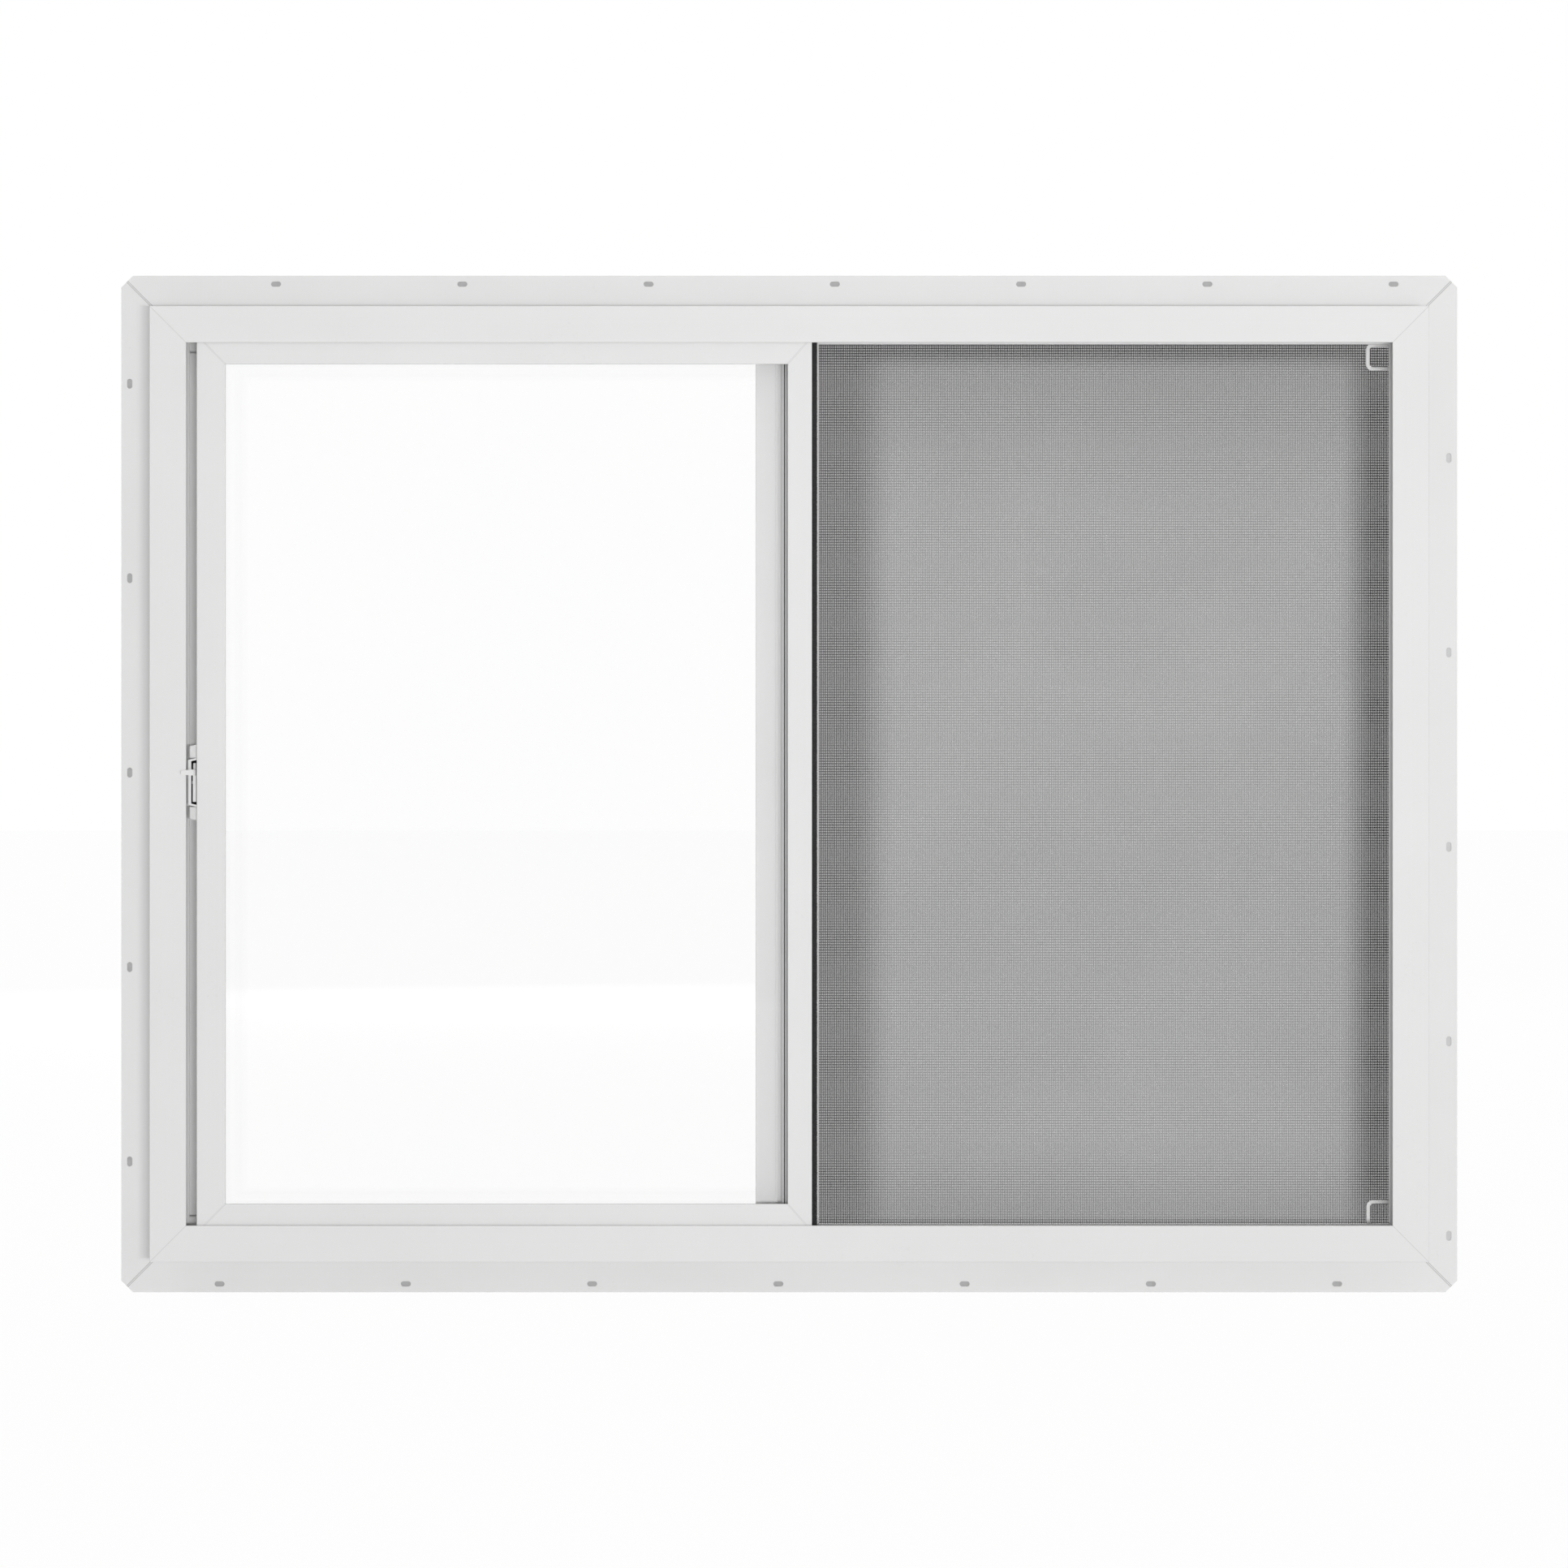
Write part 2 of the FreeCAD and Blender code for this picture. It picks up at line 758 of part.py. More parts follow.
# Sash glass and its beads, put in from the outdoor side
sash_glass_y0 = lip_y + seat_gap
sash_bead_y0 = sash_glass_y0 + 2 * sash_pane_thick + sash_air_gap + seat_gap
insulated_unit("sash", inset(sash_inner, glass_edge_gap - glazing_bite), sash_glass_y0,
               sash_pane_thick, sash_air_gap)


def sash_bead_profile():
    wide = glazing_bite - seat_gap - bead_setback
    return [
        (0, sash_bead_y0),
        (wide, sash_bead_y0),
        (wide, sash_bead_y0 + bead_nose),
        (wide - bead_slope, sash_bead_y0 + bead_thick),
        (0, sash_bead_y0 + bead_thick),
    ]


bead_rect = inset(sash_inner, seat_gap - glazing_bite)
for side in sides:
    save("sash_bead_" + side, framed_bar(sash_bead_profile(), bead_rect, sash_inner, side))


# Sash weather pile
def sash_pile_right():
    # A brush on a flat backing that slides into the stile's slot
    tip = sash_right - flange_reach + seat_gap + pile_reach
    root = sash_right - flange_reach - pile_slot_wall - seat_gap
    back = root - pile_back_thick
    profile = [
        (back, pile_y - pile_back_width / 2),
        (root, pile_y - pile_back_width / 2),
        (root, pile_y - pile_thick / 2),
        (tip, pile_y - pile_thick / 2),
        (tip, pile_y + pile_thick / 2),
        (root, pile_y + pile_thick / 2),
        (root, pile_y + pile_back_width / 2),
        (back, pile_y + pile_back_width / 2),
    ]
    half = sash_half_h - pile_end_gap
    return bar_z(profile, -half, half)


def sash_rail_pile():
    z1 = sash_half_h - rail_pile_inset
    x0 = sash_left + stile_width
    x1 = sash_right - flange_reach - right_stile_face
    return box(x0, x1, sash_back + seat_gap, divider_y - seat_gap, z1 - rail_pile_width, z1)


save("sash_pile_right", sash_pile_right())
save("sash_pile_top", sash_rail_pile())
save("sash_pile_bottom", mirrored_z(sash_rail_pile()))

# Rollers in the groove of the bottom rail, on the frame's roller rail
roller_z = -half_h + rail_height + seat_gap + roller_radius
roller_spots = [sash_left + roller_inset, sash_right - roller_inset]


def roller(x):
    middle = Vec(x, rail_y, roller_z)
    half_wheel = Vec(0, roller_thick / 2, 0)
    half_axle = Vec(0, roller_groove_width / 2 - axle_inset, 0)
    wheel = rod(roller_radius, middle - half_wheel, middle + half_wheel)
    return wheel.fuse(rod(axle_radius, middle - half_axle, middle + half_axle))


def roller_housing(x):
    # A block with room for the wheel and a slit that the axle clips into
    half = roller_groove_width / 2 - seat_gap
    high = -sash_half_h + roller_groove_depth - seat_gap
    low = -sash_half_h + seat_gap
    block = box(x - housing_length / 2, x + housing_length / 2, rail_y - half, rail_y + half, low, high)
    room = roller_radius + roller_end_gap
    side = roller_thick / 2 + roller_side_gap
    well = box(x - room, x + room, rail_y - side, rail_y + side, low - cut_past, high + cut_past)
    bore = axle_radius + seat_gap
    y0 = rail_y - half - cut_past
    y1 = rail_y + half + cut_past
    hole = rod(bore, Vec(x, y0, roller_z), Vec(x, y1, roller_z))
    slit = box(x - bore, x + bore, y0, y1, low - cut_past, roller_z)
    return block.cut([well, hole, slit])


save("sash_rollers", Part.makeCompound([roller(x) for x in roller_spots]))
save("sash_roller_housings", Part.makeCompound([roller_housing(x) for x in roller_spots]))

# Lock on the outer edge of the left stile, with its slot toward the room
lock_x = sash_left - seat_gap
lock_back = stile_back - lock_back_room
slot_x = sash_left - lock_bezel_reach + lock_wall
lever_x = slot_x + lever_gap
pivot_y = sash_front + lever_pivot_depth
bezel_half = lock_bezel_height / 2


def sloped_block(x0, x1, y0, y1, half, slope):
    # Block whose ends rise toward the stile
    points = [(x0, -half + slope), (x1, -half), (x1, half), (x0, half - slope)]
    return plate_y(points, y0, y1)


def lock_block(reach, half, setback):
    y0 = sash_front + setback
    x0 = sash_left - reach
    block = sloped_block(x0, lock_x, y0, lock_back, half, lock_end_slope)
    corner = bar_z([(x0, y0), (x0 + lock_corner, y0), (x0, y0 + lock_corner)], -half, half)
    return block.cut(corner)


def lock_plate():
    plate = lock_block(lock_plate_reach, bezel_half + lock_plate_ear, lock_plate_setback)
    half = bezel_half + seat_gap
    x0 = sash_left - lock_plate_reach - cut_past
    return plate.cut(box(x0, sash_left, indoor_y, outdoor_y, -half, half))


def lock_bezel():
    bezel = lock_block(lock_bezel_reach, bezel_half, lock_bezel_setback)
    slot_half = bezel_half - lock_rim
    slope = lock_end_slope * (lock_x - slot_x) / (lock_bezel_reach - seat_gap)
    slot = sloped_block(slot_x, lock_x, indoor_y, outdoor_y, slot_half, slope)
    pin_end = Vec(slot_x - lock_wall / 2, pivot_y, 0)
    hole = rod(lever_pin_radius + seat_gap, pin_end, pin_end + Vec(lock_wall, 0, 0))
    return bezel.cut([slot, hole])


def lever_tab():
    # Finger tab: leaves the slot toward the room, then turns over the frame face
    far = lever_x + lever_thick
    face = indoor_y - lever_tab_stand_off
    tip = sash_left - lever_tab_reach
    outer = face - lever_tab_thick
    profile = [
        (lever_x, pivot_y),
        (lever_x, face, lever_heel_round),
        (tip, face - lever_tab_dip, lever_tip_round),
        (tip, outer, lever_tip_round),
        (far, outer, lever_tab_thick),
        (far, pivot_y),
    ]
    root = lever_root_height / 2
    tab = bar_z(profile, -root, root)
    outline = [
        (tip, lever_tip_height / 2),
        (tip + lever_tip_round, lever_tab_height / 2),
        (lever_x, root),
        (lever_x, root + cut_past),
        (tip, root + cut_past),
    ]
    taper = plate_y(outline, outer, sash_front)
    tab = tab.cut([taper, mirrored_z(taper)])
    tab.translate(Vec(0, 0, lever_rise))
    return tab


def lock_lever():
    # Hub on its pin, a web up to the tab and a tongue down the slot
    start = Vec(lever_x, pivot_y, 0)
    across = Vec(lever_thick, 0, 0)
    hub = rod(lever_hub_radius, start, start + across)
    front = sash_front + lock_bezel_setback + lever_face_setback
    top = lever_rise + lever_root_height / 2
    behind = front + lever_tongue_thick
    points = [
        (0, pivot_y + lever_hub_radius),
        (lever_heel, pivot_y + lever_heel_front, lever_heel_front),
        (lever_heel, pivot_y - lever_heel_front, lever_heel_front),
        (top, pivot_y - lever_heel_front),
        (top, front),
        (-lever_tongue, front, lever_tongue_round),
        (-lever_tongue, behind, lever_tongue_round),
        (-lever_hub_radius, behind),
    ]
    web = bar_x(points, lever_x, lever_x + lever_thick)
    pin_start = Vec(slot_x - lock_wall / 2 + seat_gap, pivot_y, 0)
    pin = rod(lever_pin_radius, pin_start, start)
    return lever_tab().fuse([hub, web, pin]).removeSplitter()


def lifted(shape):
    raised = shape.copy()
    raised.translate(Vec(0, 0, lock_rise))
    return raised


save("lock_plate", lifted(lock_plate()))
save("lock_bezel", lifted(lock_bezel()))
save("lock_lever", lifted(lock_lever()))

closed_left = mullion_left + channel_left - interlock_inset + interlock_leg / 2
print("sash travel", round(closed_left - sash_left, 2), "mm")
print("lever pivot at", lever_x, pivot_y, centre_z + lock_rise)
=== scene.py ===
# %% [markdown]
# # A horizontal sliding window
# The object is a white vinyl window seen from inside a room. Its right half is open and shows
# the insect screen, and its sash is slid to the left, over a fixed pane. The solids come from the
# CAD model. This lesson gives each of them a finish, weaves the screen, plants the bristles of the
# weather piles and lights the whole as a studio would.

# %% Load the solids
import math
import bpy
import numpy as np
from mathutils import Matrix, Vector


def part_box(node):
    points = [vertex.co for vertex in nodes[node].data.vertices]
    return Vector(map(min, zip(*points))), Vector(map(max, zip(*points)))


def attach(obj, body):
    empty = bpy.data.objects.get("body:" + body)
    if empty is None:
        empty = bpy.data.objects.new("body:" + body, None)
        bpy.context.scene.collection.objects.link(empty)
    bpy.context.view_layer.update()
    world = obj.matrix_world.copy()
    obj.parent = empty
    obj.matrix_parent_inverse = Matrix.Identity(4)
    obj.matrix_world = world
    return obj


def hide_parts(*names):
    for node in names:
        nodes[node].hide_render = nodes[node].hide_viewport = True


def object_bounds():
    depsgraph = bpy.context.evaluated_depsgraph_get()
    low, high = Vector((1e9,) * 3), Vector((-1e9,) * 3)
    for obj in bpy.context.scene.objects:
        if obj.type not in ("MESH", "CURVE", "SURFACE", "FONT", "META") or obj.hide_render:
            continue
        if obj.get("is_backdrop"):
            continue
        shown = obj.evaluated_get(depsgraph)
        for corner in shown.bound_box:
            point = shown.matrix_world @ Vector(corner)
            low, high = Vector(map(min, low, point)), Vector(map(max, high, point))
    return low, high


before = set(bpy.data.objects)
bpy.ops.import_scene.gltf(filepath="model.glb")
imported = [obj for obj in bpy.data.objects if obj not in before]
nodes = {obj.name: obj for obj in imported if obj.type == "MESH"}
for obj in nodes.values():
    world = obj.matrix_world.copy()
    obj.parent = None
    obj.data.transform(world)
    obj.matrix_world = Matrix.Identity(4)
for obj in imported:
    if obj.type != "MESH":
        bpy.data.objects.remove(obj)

cad_low, cad_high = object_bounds()
print("solids:", len(nodes), "box:", [round(v, 4) for v in (*cad_low, *cad_high)])

# %% [markdown]
# ## The camera
# The photograph looks straight at the middle of the window from about three metres in front of
# its indoor face. A long lens keeps the sides of the frame upright. The width that the picture
# takes in at the face gives the focal length, so the window is as large here as it is there.

# %% Set up the camera
FACE_Y = -0.038
MIDDLE_Z = 0.468
CAMERA_X = -0.005
DISTANCE = 3.0
SEEN_WIDTH = 1.478
SENSOR_WIDTH = 36.0

camera_data = bpy.data.cameras.new("studio_camera")
camera_data.sensor_width = SENSOR_WIDTH
camera_data.lens = SENSOR_WIDTH * DISTANCE / SEEN_WIDTH
camera = bpy.data.objects.new("studio_camera", camera_data)
camera.location = (CAMERA_X, FACE_Y - DISTANCE, MIDDLE_Z)
camera.rotation_euler = (math.pi / 2, 0.0, 0.0)
bpy.context.scene.collection.objects.link(camera)
bpy.context.scene.camera = camera
bpy.context.scene.view_settings.view_transform = "Standard"
print("lens:", round(camera_data.lens, 1), "mm")

# %% [markdown]
# ## Nodes in short
# Light and finishes are trees of nodes. A few helpers keep them readable. One fills the inputs
# of a node: what is a socket of another node gets a link, and anything else is a fixed value. One
# makes a node and fills it, one does sums, and one tells which rays see a thing directly.

# %% Make, fill and reckon with nodes
def give(tree, node, values):
    for label, value in values.items():
        socket = node.inputs[label]
        if isinstance(value, bpy.types.NodeSocket):
            tree.links.new(value, socket)
        else:
            socket.default_value = value


def add(tree, kind, values, **settings):
    node = tree.nodes.new("ShaderNode" + kind)
    for name, setting in settings.items():
        setattr(node, name, setting)
    give(tree, node, values)
    return node


def calc(tree, operation, *values):
    return add(tree, "Math", dict(enumerate(values)), operation=operation).outputs[0]


def seen_directly(tree):
    # 1 for rays from the eye, from gloss and through glass, and 0 for the rest
    path = add(tree, "LightPath", {}).outputs
    seen = calc(tree, "MAXIMUM", path["Is Camera Ray"], path["Is Glossy Ray"])
    return calc(tree, "MAXIMUM", seen, path["Is Transmission Ray"])


# %% [markdown]
# ## A white studio
# The background of the photograph is plain white. The sky dome is white for the camera, for
# reflections and for what glass lets through, and dimmer for the light it sheds, so that white
# vinyl keeps its tone. Most of the modelling comes from one soft lamp behind the camera, low and
# a little to the right. From there it reaches the bottom of deep, narrow tracks, which a dome
# alone would leave dark, and it gives the faint shadow that the frame throws on its left fin. A
# second one lights the outdoor side. Neither the camera nor the glass sees the lamps, or they
# would stand there as white squares.

# %% Light the dome
DOME_LIGHT = 0.475
WHITE = (1.0, 1.0, 1.0, 1.0)

world = bpy.data.worlds.new("studio_dome")
bpy.context.scene.world = world
world.use_nodes = True
tree = world.node_tree
tree.nodes.clear()
shed = add(tree, "Background", {"Color": WHITE, "Strength": DOME_LIGHT})
seen = add(tree, "Background", {"Color": WHITE})
dome = add(tree, "MixShader", {0: seen_directly(tree), 1: shed.outputs[0], 2: seen.outputs[0]})
add(tree, "OutputWorld", {0: dome.outputs[0]})
print("dome:", DOME_LIGHT, "of what is seen")

# %% Hang the soft lamps
# Each lamp's place, sides in metres, power in watts and the point it faces
LAMPS = {
    "front_lamp": ((0.6, -4.0, 0.26), (1.6, 0.3), 78.0, (0.0, 0.0, 0.2)),
    "back_lamp": ((-0.7, 4.6, 0.9), (1.8, 0.9), 68.0, (0.0, 0.0, 0.45)),
}
for name, (place_of_lamp, sides, power, target) in LAMPS.items():
    lamp_data = bpy.data.lights.new(name, "AREA")
    lamp_data.shape = "RECTANGLE"
    lamp_data.size, lamp_data.size_y = sides
    lamp_data.energy = power
    lamp = bpy.data.objects.new(name, lamp_data)
    lamp.location = place_of_lamp
    lamp.visible_camera = False
    lamp.visible_glossy = False
    lamp.visible_transmission = False
    aim = np.array(target) - np.array(place_of_lamp)
    lamp.rotation_euler = (math.atan2(math.hypot(aim[0], aim[1]), -aim[2]), 0.0,
                           math.atan2(aim[1], aim[0]) - math.pi / 2)
    bpy.context.scene.collection.objects.link(lamp)
    print(name, sides, "m")

# %% [markdown]
# ## The floor
# The window stands on its bottom fin. The floor is white paper: mostly its own white, with a
# share of shaded paper, so a soft shadow stays where the window meets it.

# %% Lay the floor
FLOOR_SIZE = 60.0
PAPER_TONE = (0.97, 0.97, 0.97, 1.0)
OWN_WHITE = 0.97

floor_mesh = bpy.data.meshes.new("studio_floor")
half = FLOOR_SIZE / 2
square = [(x, y, cad_low[2]) for x, y in ((-half, -half), (half, -half), (half, half), (-half, half))]
floor_mesh.from_pydata(square, [], [(0, 1, 2, 3)])
floor = bpy.data.objects.new("studio_floor", floor_mesh)
bpy.context.scene.collection.objects.link(floor)
floor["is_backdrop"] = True

paper = bpy.data.materials.new("floor_paper")
paper.use_nodes = True
tree = paper.node_tree
tree.nodes.clear()
shaded = add(tree, "BsdfDiffuse", {"Color": PAPER_TONE})
white = add(tree, "Emission", {})
share = calc(tree, "MULTIPLY", seen_directly(tree), OWN_WHITE)
blend = add(tree, "MixShader", {0: share, 1: shaded.outputs[0], 2: white.outputs[0]})
add(tree, "OutputMaterial", {0: blend.outputs[0]})
floor_mesh.materials.append(paper)
print("floor:", FLOOR_SIZE, "m wide")

# %% [markdown]
# ## Effects that several finishes share
# Extruded vinyl, rolled metal and moulded plastic differ little: fine lines along the way the
# piece was drawn, a faint grain, and soft marks where hands and cloths have been. Each effect is
# a node group with its own inputs, so a finish only sets how strong and how fine it is. The
# groups give masks and heights, and the shader stays in the finish.

# %% Make a group
FLOAT = "NodeSocketFloat"
VECTOR = "NodeSocketVector"


def new_group(name, inputs, output):
    group = bpy.data.node_groups.new(name, "ShaderNodeTree")
    for label, kind, value in inputs:
        socket = group.interface.new_socket(name=label, in_out="INPUT", socket_type=kind)
        socket.default_value = value
    group.interface.new_socket(name=output, in_out="OUTPUT", socket_type=FLOAT)
    return group, group.nodes.new("NodeGroupInput").outputs, group.nodes.new("NodeGroupOutput")


def own_place(tree):
    # Where a point is on its object, so that an effect moves with the piece
    return add(tree, "TexCoord", {}).outputs["Object"]


def noise(tree, scale, detail=2.0, distortion=0.0, at=None):
    values = {"Vector": own_place(tree) if at is None else at, "Scale": scale, "Detail": detail,
              "Distortion": distortion}
    return add(tree, "TexNoise", values).outputs["Fac"]


def span(tree, value, start, end, at_start=0.0, at_end=1.0, **settings):
    # at_start where the value is at start, at_end where it is at end, and no further
    values = {"Value": value, "From Min": start, "From Max": end, "To Min": at_start,
              "To Max": at_end}
    return add(tree, "MapRange", values, **settings).outputs[0]


# %% Drawn lines along a bar
def make_drawn_lines():
    group, given, result = new_group(
        "drawn_lines", [("Stretch", VECTOR, (4.0, 900.0, 900.0))], "Lines")
    stretched = add(group, "VectorMath", {0: own_place(group), 1: given["Stretch"]},
                    operation="MULTIPLY")
    give(group, result, {"Lines": noise(group, 1.0, detail=3.0, at=stretched.outputs[0])})
    return group


# %% Soft marks of hands and cloths
def make_soft_marks():
    group, given, result = new_group(
        "soft_marks", [("Size", FLOAT, 7.0), ("Low", FLOAT, 0.4), ("High", FLOAT, 0.7)], "Marks")
    clouds = noise(group, given["Size"], detail=4.0, distortion=0.6)
    give(group, result, {"Marks": span(group, clouds, given["Low"], given["High"])})
    return group


# %% Fine moulded grain
def make_fine_grain():
    group, given, result = new_group("fine_grain", [("Fineness", FLOAT, 900.0)], "Grain")
    give(group, result, {"Grain": noise(group, given["Fineness"])})
    return group


# %% Scuffs from handling
STREAKS_FINER = 18.0
STREAK_LOW, STREAK_HIGH = 0.58, 0.72


def make_scuffs():
    # Fine streaks, only in the few patches that were rubbed
    group, given, result = new_group(
        "scuffs", [("Size", FLOAT, 14.0), ("Rarity", FLOAT, 0.64)], "Scuffs")
    patches = calc(group, "GREATER_THAN", noise(group, given["Size"]), given["Rarity"])
    finer = calc(group, "MULTIPLY", given["Size"], STREAKS_FINER)
    streaks = span(group, noise(group, finer, detail=3.0, distortion=1.2), STREAK_LOW, STREAK_HIGH)
    give(group, result, {"Scuffs": calc(group, "MULTIPLY", patches, streaks)})
    return group


# %% [markdown]
# ## Mitre seams
# The corners of the frame and the sash are mitred and welded. On the faces the weld is scraped
# flat and leaves a hairline, and on the thin fin it stays as a pair of fine lines. The seam is a
# straight line through a corner, so its mask is a distance: the height is folded about the
# middle of the window, which gives the top and bottom corners in one go, and the dot product
# with the direction across the seam tells how far a point lies from it.

# %% A line through the corners
def make_mitre_seam():
    group, given, result = new_group(
        "mitre_seam",
        [("Corner", VECTOR, (0.0, 0.0, 0.0)), ("Across", VECTOR, (1.0, 0.0, 0.0)),
         ("Width", FLOAT, 0.0004), ("Apart", FLOAT, 0.0), ("Front", FLOAT, -1.0),
         ("Back", FLOAT, 1.0), ("Strength", FLOAT, 1.0)],
        "Seam")
    point = add(group, "SeparateXYZ", {0: own_place(group)}).outputs
    height = calc(group, "ABSOLUTE", calc(group, "SUBTRACT", point["Z"], MIDDLE_Z))
    folded = add(group, "CombineXYZ", {"X": point["X"], "Z": height})
    offset = add(group, "VectorMath", {0: folded.outputs[0], 1: given["Corner"]},
                 operation="SUBTRACT")
    aside = add(group, "VectorMath", {0: offset.outputs[0], 1: given["Across"]},
                operation="DOT_PRODUCT")
    away = calc(group, "ABSOLUTE", aside.outputs["Value"])
    away = calc(group, "ABSOLUTE", calc(group, "SUBTRACT", away, given["Apart"]))
    line = span(group, away, 0.0, given["Width"], given["Strength"], 0.0)
    behind = calc(group, "GREATER_THAN", point["Y"], given["Front"])
    before = calc(group, "LESS_THAN", point["Y"], given["Back"])
    kept = calc(group, "MULTIPLY", behind, before)
    give(group, result, {"Seam": calc(group, "MULTIPLY", line, kept)})
    return group


drawn_lines = make_drawn_lines()
soft_marks = make_soft_marks()
fine_grain = make_fine_grain()
scuffs = make_scuffs()
mitre_seam = make_mitre_seam()
print("groups:", [g.name for g in bpy.data.node_groups])

# %% [markdown]
# ## A finish
# Every finish here is the same short recipe with other numbers: two close tones mixed by the
# drawn lines and the soft marks, a roughness that the marks change, and a bump from lines and
# grain. Writing the recipe once keeps the finishes alike where the real materials are alike.

# %% Place a group, mix two tones and raise a bump
def place(tree, group, **values):
    return add(tree, "Group", values, node_tree=group).outputs[0]


def mixed(tree, mask, first, second):
    # Each colour is a socket or three numbers
    pair = [c if isinstance(c, bpy.types.NodeSocket) else (*c, 1.0) for c in (first, second)]
    values = {"Factor": mask, "A": pair[0], "B": pair[1]}
    return add(tree, "Mix", values, data_type="RGBA").outputs["Result"]


def mean(tree, first, second):
    return calc(tree, "MULTIPLY", calc(tree, "ADD", first, second), 0.5)


def between(tree, mask, low, high):
    # low where the mask is 0, and high where it is 1
    return calc(tree, "ADD", calc(tree, "MULTIPLY", mask, high - low), low)


def bumped(tree, height, distance, after=None):
    values = {"Height": height, "Distance": distance}
    if after is not None:
        values["Normal"] = after
    return add(tree, "Bump", values).outputs["Normal"]


def start_finish(name):
    finish = bpy.data.materials.new(name)
    finish.use_nodes = True
    return finish, finish.node_tree, finish.node_tree.nodes["Principled BSDF"]


# %% The recipe
MICRON = 0.000001
SEAM_DEPTH = 200 * MICRON
SCUFF_TONE = 0.8
SEAM_TONE = 0.5


def solid_finish(name, light, dark, rough, stretch, line_depth, grain_depth,
                 fineness=900.0, marks=7.0, metallic=0.0, seams=(), scuffed=0.0):
    finish, tree, shader = start_finish(name)
    lines = place(tree, drawn_lines, Stretch=stretch)
    worn = place(tree, soft_marks, Size=marks)
    grain = place(tree, fine_grain, Fineness=fineness)
    color = mixed(tree, mean(tree, lines, worn), light, dark)
    normal = bumped(tree, grain, grain_depth, after=bumped(tree, lines, line_depth))
    if scuffed:
        rubbed = calc(tree, "MULTIPLY", place(tree, scuffs), scuffed)
        color = mixed(tree, rubbed, color, [v * SCUFF_TONE for v in dark])
    if seams:
        seam = 0.0
        for values in seams:
            seam = calc(tree, "MAXIMUM", place(tree, mitre_seam, **values), seam)
        color = mixed(tree, seam, color, [v * SEAM_TONE for v in dark])
        normal = bumped(tree, calc(tree, "SUBTRACT", 1.0, seam), SEAM_DEPTH, after=normal)
    give(tree, shader, {"Base Color": color, "Roughness": between(tree, worn, *rough),
                        "Normal": normal, "Metallic": metallic})
    return finish


def dress(names, finish):
    for name in names:
        mesh = nodes[name].data
        mesh.materials.clear()
        mesh.materials.append(finish)
    print(finish.name, "on", len(names))


# %% [markdown]
# ## White vinyl
# The frame and the sash are extruded vinyl: a satin white with very fine lines along each bar.
# The lines have to run with the bar, so each finish comes twice, once for bars that lie and once
# for bars that stand. The frame and the sash have their own seams, and the beads have none.

# %% Seams of the frame and the sash
HALF_WIDTH = 0.60325
HALF_HEIGHT = 0.45085
LIP_BACK = -0.03
DIAGONAL = 0.7071
# Each corner and the direction across its seam, with heights from the window's middle. The right
# stile of the sash is the wider one, so the seams at its ends run at another slant.
FRAME_CORNERS = (((-HALF_WIDTH, 0.0, HALF_HEIGHT), (DIAGONAL, 0.0, DIAGONAL)),
                 ((HALF_WIDTH, 0.0, HALF_HEIGHT), (DIAGONAL, 0.0, -DIAGONAL)))
SASH_CORNERS = (((-0.5596, 0.0, 0.42395), (0.711, 0.0, 0.7032)),
                ((-0.0015, 0.0, 0.39645), (0.7488, 0.0, -0.6628)))
FACE_SEAM = dict(Width=0.0004, Back=LIP_BACK, Strength=0.5)
FIN_SEAM = dict(Width=0.00045, Apart=0.0007, Front=-0.002, Back=0.003, Strength=1.0)
SASH_SEAM = dict(Width=0.0003, Apart=0.0005, Back=LIP_BACK, Strength=0.45)

frame_seams = [dict(Corner=corner, Across=across, **seam)
               for corner, across in FRAME_CORNERS for seam in (FACE_SEAM, FIN_SEAM)]
sash_seams = [dict(Corner=corner, Across=across, **SASH_SEAM) for corner, across in SASH_CORNERS]
print("seams:", len(frame_seams), "on the frame,", len(sash_seams), "on the sash")

# %% Vinyl for lying and standing bars
ALONG_X = (3.0, 700.0, 700.0)
ALONG_Z = (700.0, 700.0, 3.0)
VINYL = dict(light=(0.80, 0.80, 0.798), dark=(0.775, 0.775, 0.772), rough=(0.34, 0.44),
             line_depth=20 * MICRON, grain_depth=8 * MICRON, scuffed=0.15)
MEMBERS = {
    "frame_vinyl_lying": (ALONG_X, frame_seams, ("frame_head", "frame_sill")),
    "frame_vinyl_standing": (ALONG_Z, frame_seams, ("frame_left_jamb", "frame_right_jamb")),
    "sash_vinyl_lying": (ALONG_X, sash_seams, ("sash_top_rail", "sash_bottom_rail")),
    "sash_vinyl_standing": (ALONG_Z, sash_seams, ("sash_left_stile", "sash_right_stile")),
    "bead_vinyl_lying": (ALONG_X, (), ("fixed_bead_top", "fixed_bead_bottom", "sash_bead_top",
                                       "sash_bead_bottom", "weep_covers")),
    "bead_vinyl_standing": (ALONG_Z, (), ("meeting_mullion", "fixed_bead_left",
                                          "fixed_bead_right", "sash_bead_left",
                                          "sash_bead_right")),
}

for name, (stretch, seams, members) in MEMBERS.items():
    dress(members, solid_finish(name, stretch=stretch, seams=seams, **VINYL))

# %% [markdown]
# ## Films of painted shade in the fin's slots
# The slots of the fin look grey in the photograph, darker at their rims, though the studio behind is
# white. What closes them isn't to be seen, and their grey is shade. Here a thin film does it, one to
# a slot, a little behind the face, and its grey is painted shade. The outline of a slot is two half
# circles, and one outline, drawn at the front and the back and joined by a band, makes each film.

# %% A new piece from points and faces
BOX_FACES = ((0, 1, 3, 2), (4, 6, 7, 5), (0, 4, 5, 1), (2, 3, 7, 6), (0, 2, 6, 4), (1, 5, 7, 3))


def box_points(low, high):
    return [(x, y, z) for x in (low[0], high[0]) for y in (low[1], high[1])
            for z in (low[2], high[2])]


